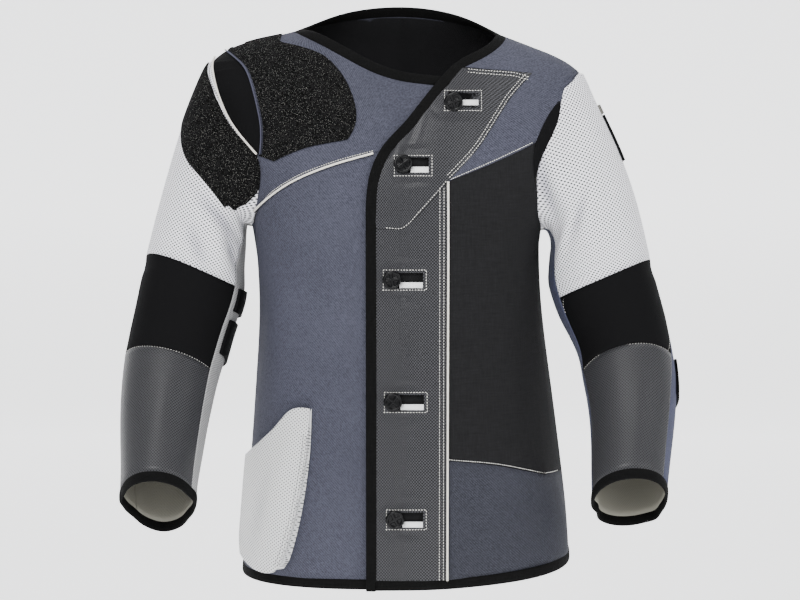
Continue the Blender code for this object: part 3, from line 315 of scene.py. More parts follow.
def drawn_together(shape, node):
    """Draw a piece's borders up to the pieces sewn to it; a binding reaches over the cloth's edge."""
    binds = node.endswith("binding")
    moves = {}
    for vert in shape.verts:
        found = [seam_trees[other].find_nearest(vert.co, SEAM_REACH) for other in SEWN if other != node]
        found = [(gap, spot) for spot, _, _, gap in found if spot is not None]
        if found:
            gap, spot = min(found, key=lambda pair: pair[0])
            way = (spot - vert.co).normalized()
            moves[vert] = way * (gap + BINDING_LAP) if binds else way * gap * SEAM_SHARE
    if binds:
        for vert in list(moves):
            for edge in vert.link_edges:
                if edge.calc_length() < BINDING_THICK:
                    moves.setdefault(edge.other_vert(vert), moves[vert])
    for vert, way in moves.items():
        vert.co += way


STRAIGHT = -0.86


def smoothed(name, node, material, levels=2, sharp=50.0):
    """A smooth copy of a CAD node: its facets rounded off, its cut edges and outline corners kept."""
    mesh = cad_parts[node].data.copy()
    mesh.name = name
    shape = bmesh.new()
    shape.from_mesh(mesh)
    bmesh.ops.remove_doubles(shape, verts=shape.verts, dist=2e-6)
    if node in SEWN:
        drawn_together(shape, node)
    bmesh.ops.join_triangles(shape, faces=shape.faces, angle_face_threshold=math.radians(35),
                             angle_shape_threshold=math.radians(120))
    crease = shape.edges.layers.float.new("crease_edge")
    corner = shape.verts.layers.float.new("crease_vert")
    for edge in shape.edges:
        if len(edge.link_faces) == 2 and edge.calc_face_angle() > math.radians(sharp):
            edge[crease] = 1.0
    for vert in shape.verts:
        ways = [(edge.other_vert(vert).co - vert.co).normalized()
                for edge in vert.link_edges if edge[crease] > 0.5]
        if len(ways) == 2 and ways[0].dot(ways[1]) > STRAIGHT:
            vert[corner] = 1.0
    shape.to_mesh(mesh)
    shape.free()
    made = added(name, mesh, material)
    rounding = made.modifiers.new("rounding", "SUBSURF")
    rounding.levels = rounding.render_levels = levels
    bpy.context.view_layer.update()
    fine = bpy.data.meshes.new_from_object(made.evaluated_get(bpy.context.evaluated_depsgraph_get()))
    made.modifiers.remove(rounding)
    made.data = fine
    fine.name = name
    fine.shade_smooth()
    fine.set_sharp_from_angle(angle=math.radians(sharp))
    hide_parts(node)
    return made


def cut_piece(made):
    """Give a piece back as it is."""
    return made


def panel(name, node, material, creases=(), mapped=torso_map, levels=2):
    """A cut piece that is a smooth, creased copy of its own node."""
    made = dressed(smoothed(name, node, material, levels), mapped, creases)
    return cut_piece(made)


def twill(name, colour, dark, lining, pitch=0.0030):
    """Diagonal twill on a plain lining."""
    graph = Graph(name)
    across, up, outer = graph.place()
    rib = (across + up * 0.8).wave(pitch)
    cross = (across - up * 1.6).wave(pitch * 1.35)
    cloudy = graph.noise(9.0, 4.0)
    uneven = graph.noise(420.0, 3.0)
    shade = (rib * 0.24 + cross * 0.08 + (uneven - 0.5) * 1.6 + (cloudy - 0.5) * 0.4 + 0.5).clamped()
    face = graph.mix(shade, dark, colour)
    return graph.finish(Base_Color=graph.mix(outer, lining, face), Roughness=0.82, Specular_IOR_Level=0.2,
                        Normal=graph.bump(rib * 0.6 + cross * 0.3 + cloudy * 2.0, 0.0004, 0.7))


black_lining = tone(12, 12, 14)
blue = twill("blue_cloth", tone(70, 71, 84), tone(38, 39, 48), black_lining)

# the middle of the back lies three quarters of the way round from the right side
girth = float(torso_map(np.array([(0.0, 0.1, -0.3)]))[0][0]) / 0.75


def back_map(points):
    """torso_map with the cut of its across moved from the middle of the back to the front."""
    across, up, out = torso_map(points)
    return np.where(across < 0.3, across + girth, across), up, out


back_folds = (
    (girth - 0.090, -0.32, 88.0, 0.16, 0.028, -0.0050), (girth - 0.150, -0.30, 92.0, 0.17, 0.026, 0.0035),
    (0.620, -0.32, 92.0, 0.16, 0.028, -0.0050), (0.680, -0.30, 88.0, 0.17, 0.026, 0.0035),
    (girth - 0.180, -0.54, 8.0, 0.12, 0.022, 0.0040), (0.700, -0.47, -9.0, 0.13, 0.020, -0.0035),
    (girth - 0.160, -0.14, 30.0, 0.08, 0.018, 0.0035), (0.680, -0.14, -30.0, 0.08, 0.018, 0.0035))
panel("back", "back_panel", blue, back_folds, back_map)

right_yoke = panel("right_yoke", "right_front_yoke", blue,
                   ((0.240, -0.125, 20.0, 0.035, 0.010, -0.0015),))
right_front_folds = (
    (0.060, -0.36, 84.0, 0.10, 0.018, -0.0026), (0.105, -0.40, 88.0, 0.10, 0.020, 0.0020),
    (0.170, -0.52, 97.0, 0.09, 0.018, -0.0020), (0.045, -0.25, 62.0, 0.05, 0.012, -0.0026),
    (0.205, -0.33, 90.0, 0.08, 0.014, 0.0016))
right_front = panel("right_front", "right_front_panel", blue,
                    right_front_folds)
left_yoke = panel("left_yoke", "left_front_yoke", blue)

# painted shade: the left hem panel is the same twill as the body, painted darker because that side lies in
# shade
shaded_hem_blue = twill("blue_cloth_painted_shade", tone(54, 55, 64), tone(26, 27, 33), black_lining)
left_hem_folds = ((0.440, -0.62, 80.0, 0.06, 0.016, -0.0026), (0.490, -0.62, 96.0, 0.06, 0.018, 0.0022))
left_hem = panel("left_hem", "left_hem_panel", shaded_hem_blue,
                 left_hem_folds)


# ---- black cloth of the body ----------------------------------------------------------------------
# The side panel on the left and the button stand under the placket: black plain-woven canvas, sewn in
# flat, with stretch gussets of smooth knit let in beside the armholes.
def canvas(name, colour, dark, lining, pitch=0.0016):
    """Plain weave with threads of uneven thickness."""
    graph = Graph(name)
    across, up, outer = graph.place()
    warp, weft = across.wave(pitch), up.wave(pitch)
    slub = graph.noise(60.0, 3.0, (1.0, 1.0, 9.0))
    slub_two = graph.noise(60.0, 3.0, (9.0, 9.0, 1.0))
    shade = (warp * weft * 0.25 + (slub + slub_two - 1.0) * 0.9 + 0.5).clamped()
    face = graph.mix(shade, dark, colour)
    return graph.finish(Base_Color=graph.mix(outer, lining, face), Roughness=0.88, Specular_IOR_Level=0.08,
                        Normal=graph.bump(warp * weft + slub * 1.5, 0.0003, 0.6))


def knit(name, colour, lining, pitch=0.0014):
    """Smooth stretch cloth with fine ribs up and down."""
    graph = Graph(name)
    across, _, outer = graph.place()
    rib = across.wave(pitch)
    soft = graph.noise(14.0, 3.0, (1.0, 1.0, 0.4))
    return graph.finish(Base_Color=graph.mix(outer, lining, colour), Roughness=0.8, Specular_IOR_Level=0.06,
                        Normal=graph.bump(rib * 0.4 + soft * 3.0, 0.0004, 0.6))


black_canvas = canvas("black_cloth", tone(31, 31, 32), tone(19, 19, 20), black_lining)
black_knit = knit("black_stretch", tone(11, 11, 12), black_lining)

left_side_folds = (
    (0.445, -0.42, 86.0, 0.12, 0.018, -0.0026), (0.490, -0.45, 92.0, 0.12, 0.018, 0.0022),
    (0.475, -0.25, 112.0, 0.05, 0.014, -0.0024), (0.400, -0.30, 80.0, 0.07, 0.016, 0.0016))
left_side = panel("left_side", "left_side_panel", black_canvas,
                  left_side_folds)
panel("button_stand_cloth", "button_stand", black_canvas)

right_gathers = [(0.045 + 0.003 * math.sin(2.3 * k), cloth_height(-0.036 - 0.0125 * k),
                  8.0 + 9.0 * math.sin(1.7 * k), 0.022, 0.0028 + 0.0006 * math.sin(3.1 * k),
                  0.0014 + 0.0005 * math.sin(2.9 * k)) for k in range(9)]
panel("right_gusset_cloth", "right_gusset", black_knit,
      right_gathers, levels=3)
panel("left_gusset_cloth", "left_gusset", black_knit)


# ---- sleeves --------------------------------------------------------------------------------------
# Upper pieces of white perforated leather, elbows of black stretch cloth and forearms of grey
# perforated leather, closed along the inside by one long piece each: blue twill on the left, pale
# perforated cloth on the right.
# the line through the middle of each sleeve; its first two points lie inside the body
SLEEVE_AXIS = {
    "right": (
        (-0.200, 0.008, -0.143), (-0.234, 0.004, -0.158), (-0.244, 0.002, -0.192), (-0.254, 0.0, -0.233),
        (-0.263, -0.002, -0.272), (-0.272, -0.006, -0.315), (-0.279, -0.014, -0.354), (-0.290, -0.03, -0.395),
        (-0.298, -0.054, -0.433), (-0.301, -0.083, -0.468), (-0.302, -0.115, -0.511), (-0.302, -0.15, -0.553),
        (-0.301, -0.172, -0.578), (-0.298, -0.220, -0.636)),
    "left": (
        (0.190, 0.006, -0.153), (0.226, 0.004, -0.174), (0.238, 0.002, -0.203), (0.248, 0.000, -0.235),
        (0.256, -0.002, -0.273), (0.263, -0.006, -0.316), (0.276, -0.015, -0.355), (0.291, -0.030, -0.395),
        (0.298, -0.054, -0.433), (0.299, -0.083, -0.466), (0.296, -0.115, -0.509), (0.289, -0.149, -0.549),
        (0.286, -0.170, -0.574), (0.281, -0.217, -0.632)),
}
ARM_RADIUS = 0.062


def sleeve_map(side, cut):
    """A map like torso_map for one sleeve, wrapped round its axis and cut open at an angle in degrees."""
    axis = np.array(SLEEVE_AXIS[side])
    run, axis = lengths(axis)[2:], axis[2:]
    steps = units(np.diff(axis, axis=0))
    walls = units(np.concatenate([steps[:1], steps[:-1] + steps[1:], steps[-1:]]))
    sign = -1.0 if side == "right" else 1.0

    def mapped(points):
        best = np.full(len(points), 1e9)
        along = np.zeros(len(points))
        near = np.zeros_like(points)
        ways = np.zeros_like(points)
        last = len(steps) - 1
        for i, step in enumerate(steps):
            before = (points - axis[i]) @ walls[i]
            after = (axis[i + 1] - points) @ walls[i + 1]
            share = before / np.maximum(before + after, 1e-6)
            length = run[i + 1] - run[i]
            share = np.where((i == 0) & (before < 0.0), before / length, share)
            share = np.where((i == last) & (after < 0.0), 1.0 - after / length, share)
            foot = axis[i] + (share * length)[:, None] * step
            gap = np.linalg.norm(points - foot, axis=1)
            inside = ((before >= 0.0) | (i == 0)) & ((after >= 0.0) | (i == last))
            closer = inside & (gap < best)
            best[closer] = gap[closer]
            near[closer] = foot[closer]
            along[closer] = (run[i] + share * length)[closer]
            ways[closer] = step
        out = points - near
        out = units(out - (out * ways).sum(axis=1)[:, None] * ways)
        front = units(np.cross(ways, np.array((sign, 0.0, 0.0))) * sign)
        outer = np.cross(front, ways)
        outer *= np.sign(outer[:, :1] * sign)
        turn = np.degrees(np.arctan2((out * front).sum(axis=1), (out * outer).sum(axis=1)))
        turn = (turn - cut) % 360.0 + cut
        return np.radians(turn) * ARM_RADIUS, -along, out

    return mapped


def perforated(name, colour, hole, lining, pitch, radius, sheen, gloss=0.3):
    """Leather punched with staggered rows of small holes, with painted shade in the troughs of its creases.
    """
    graph = Graph(name)
    across, up, outer = graph.place()
    row = (up / (pitch / 2)).math("FLOOR")
    shift = row.math("PINGPONG", 1.0) * 0.5
    side = ((across / pitch + shift).math("FRACT") - 0.5) * pitch
    rise = ((up / (pitch / 2)).math("FRACT") - 0.5) * (pitch / 2)
    away = (side * side + rise * rise).math("SQRT")
    punched = away.below(radius, radius * 0.4)
    skin = graph.noise(240.0, 4.0)
    cloudy = graph.noise(7.0, 2.0)
    # painted shade: the colour darkens to a lavender grey in the troughs of the creases
    fold_shade = Term(graph, graph.node("ShaderNodeAttribute", {"attribute_name": "fold_shade"}).outputs["Fac"])
    worn = graph.mix((cloudy - 0.5) * 1.2 + 0.5, colour, [c * 0.93 for c in colour[:3]] + [1.0])
    shaded = graph.mix(fold_shade * 0.8, worn, [c * 0.42 for c in colour[:2]] + [colour[2] * 0.47, 1.0])
    face = graph.mix(punched, shaded, hole)
    return graph.finish(Base_Color=graph.mix(outer, lining, face), Roughness=(skin - 0.5) * 0.15 + sheen,
                        Specular_IOR_Level=gloss, Normal=graph.bump(skin * 0.5 - punched * 3.0, 0.0004, 0.8))


grey_lining = tone(128, 126, 116)
white_leather = perforated("white_leather", tone(236, 235, 240), tone(10, 10, 12), grey_lining,
                           0.0050, 0.00100, 0.5)
grey_leather = perforated("grey_leather", tone(56, 56, 59), tone(2, 2, 3), grey_lining, 0.0042, 0.00106, 0.40)
pale_mesh = perforated("pale_grey_mesh", tone(150, 150, 150), tone(70, 70, 73), grey_lining,
                       0.0044, 0.00075, 0.75)
sleeve_blue = twill("sleeve_blue_cloth", tone(72, 75, 97), tone(44, 46, 62), grey_lining)
sleeve_knit = knit("sleeve_black_stretch", tone(11, 11, 12), grey_lining)

sleeve_flats = {
    "right": ((0.420, 0.298, 0.0602), (0.237, 0.147, 0.0274), (0.207, 0.200, 0.0343), (0.247, 0.643, 0.0930)),
    "left": ((0.411, 0.288, 0.0529), (0.193, 0.140, 0.0171), (0.143, 0.179, 0.0217), (0.243, 0.612, 0.1159)),
}
sleeve_creases = {
    "right": (
        (0.120, -0.118, -38.0, 0.038, 0.0070, -0.0052), (0.108, -0.128, -38.0, 0.036, 0.0075, 0.0044),
        (0.142, -0.155, -50.0, 0.034, 0.0065, -0.0052), (0.130, -0.164, -50.0, 0.032, 0.0070, 0.0042),
        (0.100, -0.160, -62.0, 0.028, 0.0080, -0.0036), (0.155, -0.130, -48.0, 0.030, 0.0070, 0.0028),
        (0.020, -0.200, 5.0, 0.040, 0.0120, -0.0020), (0.300, -0.110, 40.0, 0.045, 0.0090, 0.0030),
        (0.285, -0.128, 40.0, 0.045, 0.0090, -0.0030), (0.325, -0.300, -8.0, 0.050, 0.0100, -0.0030),
        (0.300, -0.330, 6.0, 0.045, 0.0090, 0.0028), (0.100, -0.420, 86.0, 0.060, 0.0130, 0.0014),
        (0.292, -0.530, 90.0, 0.040, 0.0190, 0.0060), (0.238, -0.530, 90.0, 0.040, 0.0220, -0.0045),
        (0.346, -0.530, 90.0, 0.040, 0.0220, -0.0045), (0.185, -0.530, 90.0, 0.035, 0.0160, 0.0030),
        (0.010, -0.530, 90.0, 0.035, 0.0130, 0.0030)),
    "left": (
        (0.135, -0.055, 99.0, 0.042, 0.0070, -0.0052), (0.120, -0.050, 97.0, 0.045, 0.0080, 0.0046),
        (0.152, -0.070, 100.0, 0.040, 0.0080, 0.0026), (0.117, -0.108, -59.0, 0.038, 0.0075, -0.0048),
        (0.131, -0.120, -61.0, 0.038, 0.0075, 0.0042), (0.100, -0.100, -64.0, 0.034, 0.0090, 0.0020),
        (0.020, -0.200, 5.0, 0.040, 0.0120, -0.0020), (0.300, -0.100, -40.0, 0.045, 0.0090, 0.0030),
        (0.285, -0.118, -40.0, 0.045, 0.0090, -0.0030), (0.325, -0.295, 8.0, 0.050, 0.0100, -0.0030),
        (0.300, -0.325, -6.0, 0.045, 0.0090, 0.0028), (0.095, -0.410, 94.0, 0.060, 0.0130, 0.0014),
        (0.225, -0.520, 90.0, 0.040, 0.0130, -0.0045), (0.340, -0.520, 90.0, 0.040, 0.0130, 0.0040)),
}
AROUND = 2 * math.pi * ARM_RADIUS


def all_round(creases):
    """The creases of a sleeve, once more for each way round that its cut may fall."""
    return [(across + turn, *rest) for across, *rest in creases for turn in (-AROUND, 0.0, AROUND)]


sleeve_pieces = {}
for side, under_material, under_slot in (("right", pale_mesh, "pale_grey_mesh"),
                                         ("left", sleeve_blue, "blue_cloth")):
    kinds = (("_upper", "_sleeve_upper", white_leather, "white_leather", "back"),
             ("_elbow_cloth", "_elbow", sleeve_knit, "black_stretch", side + "_upper"),
             ("_forearm_leather", "_forearm", grey_leather, "grey_leather", side + "_upper"),
             ("_under_cloth", "_under_sleeve", under_material, under_slot, side + "_upper"))
    for (ending, node, material, slot, on), (width, length, area) in zip(kinds, sleeve_flats[side]):
        sleeve_pieces[side + node] = panel(
            side + ending, side + node, material,
            all_round(sleeve_creases[side]), sleeve_map(side, 90.0 if node == "_under_sleeve" else -90.0))


# ---- gritted rubber patches -----------------------------------------------------------------------
# Rubber sheets as rough as sandpaper, sewn over the right shoulder and the head of the right sleeve to
# keep a rifle's butt from slipping: black grit, with a few grains painted bright as glints of light.
def gritted(name, colour, dark, glint_colour):
    """Black rubber full of grit, with a few grains painted bright as glints of light."""
    graph = Graph(name)
    where = graph.node("ShaderNodeTexCoord").outputs["Object"]
    grains = graph.node("ShaderNodeTexVoronoi", sockets={"Vector": where, "Scale": 2300.0})
    chances = graph.node("ShaderNodeSeparateColor", sockets={"Color": grains.outputs["Color"]})
    # painted highlight: a few grains, chosen at random, get the bright glint colour and a smoother finish
    chosen = Term(graph, chances.outputs["Red"]).math("GREATER_THAN", 0.955)
    middle = Term(graph, grains.outputs["Distance"]).below(0.5, 0.3)
    glint = chosen * middle * Term(graph, chances.outputs["Green"])
    lump = graph.noise(380.0, 5.0)
    shade = ((lump - 0.5) * 3.0 + 0.4).clamped()
    return graph.finish(Base_Color=graph.mix(glint, graph.mix(shade, dark, colour), glint_colour),
                        Roughness=0.92 - glint * 0.5, Specular_IOR_Level=0.05,
                        Normal=graph.bump(lump * 2.0 + middle * 0.4, 0.0012, 1.0))


def seated(made, carrier, thick, slide=lambda point: Vector(), gap=0.0004):
    """Lay a sewn-on piece at an even height on its carrier's outer face, slid along it a little."""
    tree = tree_of(carrier, outer=True)
    for vert, outer in zip(made.data.vertices, cloth_rows(made.data)[:, 2]):
        spot, normal = tree.find_nearest(vert.co + slide(vert.co))[:2]
        vert.co = spot + normal * (gap + thick * outer)
    made.data.update()
    return made


grit = gritted("grit_rubber", tone(30, 30, 30), tone(4, 4, 4), tone(205, 203, 196))
PATCH_THICK = 0.0016


def toward_body(point):
    """How far a point of the sleeve patch slides: its inner border to the armhole, its tip down."""
    near_body = min(1.0, max(0.0, (point.x + 0.25) / 0.05))
    inward = 0.009 * math.exp(-((point.z + 0.172) / 0.030) ** 2) * near_body
    down = 0.010 * math.exp(-((point.x + 0.215) / 0.030) ** 2 - ((point.z + 0.215) / 0.030) ** 2)
    return Vector((inward, 0.0, -down))


shoulder_patch = dressed(smoothed("shoulder_patch", "chest_patch", grit, 3), torso_map)
cut_piece(seated(shoulder_patch, right_yoke, PATCH_THICK))
sleeve_patch = dressed(smoothed("sleeve_patch", "right_sleeve_patch", grit, 3), sleeve_map("right", -90.0))
cut_piece(seated(sleeve_patch, sleeve_pieces["right_sleeve_upper"], PATCH_THICK, toward_body))


# ---- bindings and pipings -------------------------------------------------------------------------
# Black woven tape folded over the raw edges of the neck, the left front, the hem and both cuffs, and
# thin covered cords let into the main seams.
binding = canvas("binding", tone(14, 14, 14), tone(4, 4, 4), tone(8, 8, 8), 0.0012)
for name, node, mapped, creases in (
    ("neck_edge", "neck_binding", torso_map, ()), ("front_edge", "front_edge_binding", torso_map, ()),
    ("hem_edge", "hem_binding", torso_map, ()),
    ("right_cuff_edge", "right_cuff_binding", sleeve_map("right", -90.0), all_round(sleeve_creases["right"])),
    ("left_cuff_edge", "left_cuff_binding", sleeve_map("left", -90.0), all_round(sleeve_creases["left"])),
):
    dressed(smoothed(name, node, binding, 2, 60.0), mapped, creases)


def covered_cord(name, colour, dark, black_below=-9.0):
    """Fine cloth drawn tight over a round cord, black below a height."""
    graph = Graph(name)
    where = graph.node("ShaderNodeTexCoord").outputs["Object"]
    height = Term(graph, graph.node("ShaderNodeSeparateXYZ", sockets={"Vector": where}).outputs["Z"])
    weave = graph.noise(900.0, 2.0)
    soiled = graph.noise(25.0, 3.0)
    face = graph.mix((weave + soiled - 0.5).clamped(), dark, colour)
    return graph.finish(Base_Color=graph.mix(height.below(black_below, 0.002), face, tone(12, 12, 12)),
                        Roughness=0.7, Normal=graph.bump(weave, 0.0003, 0.7))


cream, cream_shade = tone(228, 224, 216), tone(196, 191, 182)
cream_cord = covered_cord("cream_piping", cream, cream_shade)
armhole_cord = covered_cord("armhole_piping", cream, cream_shade, -0.158)
blue_cord = covered_cord("blue_piping", tone(58, 59, 80), tone(34, 34, 48))
for name, node, material, slot in (
    ("right_gusset_cord", "right_gusset_piping", blue_cord, "blue_piping"),
    ("chest_cord", "chest_piping", cream_cord, "cream_piping"),
    ("placket_cord", "placket_piping", cream_cord, "cream_piping"),
    ("armhole_cord", "right_armhole_piping", armhole_cord, "cream_piping"),
):
    smoothed(name, node, material, 2, 80.0)


# ---- placket --------------------------------------------------------------------------------------
# The wide front band of dark grey perforated leather, in two parts with a seam between them. Five
# slots are cut through it for the buttons, and the leather puckers round each of them.
placket_leather = perforated("placket_leather", tone(58, 58, 62), tone(2, 2, 2), black_lining,
                             0.0040, 0.00110, 0.40, 0.28)
# the middle of each button in the front view, and the x of its slot's end
BUTTON_SPOTS = ((0.0670, -0.0856, 0.0990), (0.0038, -0.1667, 0.0360), (-0.0101, -0.3094, 0.0289),
                (-0.0088, -0.4638, 0.0302), (-0.0063, -0.6127, 0.0292))
PROBE_STEP, LONGEST_EDGE = 0.003, 0.0042


def bumps(spots, low, high):
    """Smooth functions of x and z, one column each, for fitting a face by least squares."""
    share = (spots - low) / (high - low) * 2 - 1
    return np.polynomial.chebyshev.chebvander2d(share[:, 0], share[:, 1], [5, 7])


def relaid(name, node, material):
    """A fine copy of a cut leather piece: each face is laid on one smooth surface, the cuts stay."""
    shape = bmesh.new()
    shape.from_mesh(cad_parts[node].data)
    bmesh.ops.remove_doubles(shape, verts=shape.verts, dist=2e-6)
    tree = BVHTree.FromBMesh(shape)
    mesh = bpy.data.meshes.new(name)
    shape.to_mesh(mesh)
    before = coordinates(mesh)[:, ::2]
    low, high = before.min(axis=0), before.max(axis=0)
    fits = []
    for start, way in ((-0.5, 1.0), (0.5, -1.0)):
        spots, depths = [], []
        for x in np.arange(low[0], high[0], PROBE_STEP):
            for z in np.arange(low[1], high[1], PROBE_STEP):
                hit, normal = tree.ray_cast(Vector((x, start, z)), Vector((0.0, way, 0.0)))[:2]
                if hit is not None and abs(normal.y) > 0.6:
                    spots.append((x, z))
                    depths.append(hit.y)
        fits.append(np.linalg.lstsq(bumps(np.array(spots), low, high), np.array(depths), rcond=None)[0])
    for _ in range(6):
        long = [edge for edge in shape.edges if edge.calc_length() > LONGEST_EDGE]
        bmesh.ops.subdivide_edges(shape, edges=long, cuts=1)
        bmesh.ops.triangulate(shape, faces=shape.faces)
    for edge in shape.edges:
        edge.smooth = not (len(edge.link_faces) == 2 and edge.calc_face_angle() > math.radians(60))
    shape.to_mesh(mesh)
    shape.free()
    points = coordinates(mesh)
    columns = bumps(points[:, ::2], low, high)
    front, back = columns @ fits[0], columns @ fits[1]
    share = np.clip((points[:, 1] - front) / (back - front), 0.0, 1.0)
    share = np.where(share < 0.3, 0.0, np.where(share > 0.7, 1.0, share))
    points[:, 1] = front + share * (back - front)
    mesh.vertices.foreach_set("co", points.ravel())
    mesh.update()
    made = added(name, mesh, material)
    mesh.polygons.foreach_set("use_smooth", [True] * len(mesh.polygons))
    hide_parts(node)
    return made


def cloth_spot(x, z):
    """Across and up on the body's cloth of the front's point seen at (x, z)."""
    across, up, _ = torso_map(np.array([(x, -0.128, z)]))
    return float(across[0]), float(up[0])


puckers = []
for x, z, _ in BUTTON_SPOTS:
    for along, rise, slant, long, wide, height in (
        (0.013, 0.0200, 4.0, 0.020, 0.0040, -0.0011), (0.016, 0.0270, -3.0, 0.018, 0.0038, 0.0008),
        (0.012, -0.0205, -5.0, 0.021, 0.0040, -0.0012), (0.018, -0.0275, 5.0, 0.017, 0.0042, 0.0009),
        (-0.012, 0.0160, 48.0, 0.012, 0.0032, -0.0010), (-0.010, -0.0170, -44.0, 0.011, 0.0034, -0.0008),
    ):
        puckers.append((*cloth_spot(x + along, z + rise), slant, long, wide, height))
puckers += [(*cloth_spot(0.030, -0.118), 62.0, 0.022, 0.005, 0.0011),
            (*cloth_spot(0.016, -0.132), 50.0, 0.020, 0.005, -0.0010),
            (*cloth_spot(0.010, -0.385), 86.0, 0.040, 0.010, -0.0009),
            (*cloth_spot(0.030, -0.540), 94.0, 0.045, 0.010, 0.0009)]
placket_top = dressed(relaid("placket_top", "placket_upper", placket_leather), torso_map, puckers)
cut_piece(placket_top)
placket_foot = dressed(relaid("placket_foot", "placket_lower", placket_leather), torso_map, puckers)
cut_piece(placket_foot)


def tape_weave(name, colour, dark):
    """Close white tape."""
    graph = Graph(name)
    weave = graph.noise(500.0, 2.0, (1.0, 1.0, 3.0))
    return graph.finish(Base_Color=graph.mix(weave, dark, colour), Roughness=0.75,
                        Normal=graph.bump(weave, 0.0003, 0.6))


white_tape = tape_weave("white_tape", tone(236, 236, 236), tone(205, 205, 205))
for number in range(1, 6):
    smoothed("facing_%d" % number, "slot_tape_%d" % number, white_tape, 1)


# ---- buttons --------------------------------------------------------------------------------------
# Glossy black moulded buttons, with a thick round rim and a cross in the hollow between. Each is sewn
# to the button stand by its shank, which passes through a slot in the placket.
def moulded(name, colour):
    """Glossy plastic with faint moulding marks and scuffs."""
    graph = Graph(name)
    scuff = graph.noise(160.0, 4.0)
    return graph.finish(Base_Color=graph.mix(scuff, colour, [c * 1.6 for c in colour[:3]] + [1.0]),
                        Roughness=0.14 + scuff * 0.12, Specular_IOR_Level=0.16,
                        Normal=graph.bump(scuff, 0.0001, 0.3))


BUTTON_RADIUS, RIM_MIDDLE, RIM_ROUND, HOLLOW_RADIUS = 0.0118, 0.0098, 0.0021, 0.0078
RIM_FOOT, HOLLOW_FLOOR, CROSS_HEIGHT, CROSS_HALF, CROSS_EDGE = 0.0030, 0.0026, 0.0015, 0.0017, 0.00025
SHANK_RADIUS, BUTTON_THICK = 0.0031, 0.0048
LEANS = (20.0, 38.0, 12.0, 50.0, 28.0)
FACETS = 72


def button_face(radius, turn):
    """Height of a button's top above its underside."""
    if radius > HOLLOW_RADIUS:
        return RIM_FOOT + RIM_ROUND * math.sqrt(max(0.0, 1.0 - ((radius - RIM_MIDDLE) / RIM_ROUND) ** 2))
    arm = min(abs(radius * math.sin(turn)), abs(radius * math.cos(turn)))
    cross = 1.0 / (1.0 + math.exp((arm - CROSS_HALF) / CROSS_EDGE))
    return HOLLOW_FLOOR + CROSS_HEIGHT * cross


button_plastic = moulded("button_plastic", tone(5, 5, 6))
for number in range(1, 6):
    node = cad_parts["button_%d" % number]
    points = coordinates(node.data)
    heart = points.mean(axis=0)
    axis = np.array((0.0, -1.0, 0.0))
    for _ in range(4):
        rise = (points - heart) @ axis
        rim = points[rise > rise.max() - 0.0005]
        axis = np.linalg.svd(rim - rim.mean(axis=0))[2][2]
        axis *= -np.sign(axis[1])
    rise = (points - rim.mean(axis=0)) @ axis
    seat, foot = rim.mean(axis=0) - axis * BUTTON_THICK, rise.min() + BUTTON_THICK
    side = np.cross(axis, (0.0, 0.0, 1.0))
    side /= np.linalg.norm(side)
    up = np.cross(side, axis)
    lean = math.radians(LEANS[number - 1])
    rings = [(0.0001, foot), (SHANK_RADIUS, foot), (0.0034, 0.0), (0.0105, 0.0002), (BUTTON_RADIUS, 0.0012)]
    radii = [BUTTON_RADIUS, 0.0115, 0.0110, 0.0104, RIM_MIDDLE, 0.0092, 0.0086, 0.0081, HOLLOW_RADIUS, 0.0072]
    radii += list(np.linspace(0.0066, 0.0002, 16))
    turns = [2 * math.pi * k / FACETS for k in range(FACETS)]
    rows = [[(radius, height, t) for t in turns] for radius, height in rings]
    rows += [[(radius, button_face(radius, t + lean), t) for t in turns] for radius in radii]
    verts = [tuple(seat + axis * h + (side * math.cos(t) + up * math.sin(t)) * r)
             for row in rows for r, h, t in row]
    last = (len(rows) - 1) * FACETS
    faces = [(i + k, i + (k + 1) % FACETS, i + FACETS + (k + 1) % FACETS, i + FACETS + k)
             for i in range(0, last, FACETS) for k in range(FACETS)]
    faces += [tuple(range(FACETS))[::-1], tuple(range(last, last + FACETS))]
    mesh = bpy.data.meshes.new("black_button_%d" % number)
    mesh.from_pydata(verts, [], faces)
    shape = bmesh.new()
    shape.from_mesh(mesh)
    bmesh.ops.recalc_face_normals(shape, faces=shape.faces)
    shape.to_mesh(mesh)
    shape.free()
    mesh.shade_smooth()
    made = added("black_button_%d" % number, mesh, button_plastic)
    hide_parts("button_%d" % number)


# ---- pocket ---------------------------------------------------------------------------------------
# A bellows pocket of pale perforated leather low on the right front, open along its slanted mouth:
# a face that stands off the body on a pleated side strip.
pocket_leather = perforated("pocket_leather", tone(212, 212, 212), tone(40, 40, 42), tone(190, 190, 190),
                            0.0044, 0.00072, 0.5)
pocket = panel("pocket_face", "pocket_front", pocket_leather,
               ((0.110, -0.60, 78.0, 0.06, 0.012, -0.0020),
                               (0.128, -0.56, 82.0, 0.06, 0.012, 0.0016)), levels=3)


def bellows_map(points):
    """A map like torso_map for the bellows, whose strip runs back from the pocket's front."""
    out = np.tile((0.7, -0.7, 0.0), (len(points), 1))
    return points[:, 0] - points[:, 1], points[:, 2] + 0.4 * points[:, 1], out


panel("pocket_side", "pocket_bellows", pocket_leather,
      mapped=bellows_map)


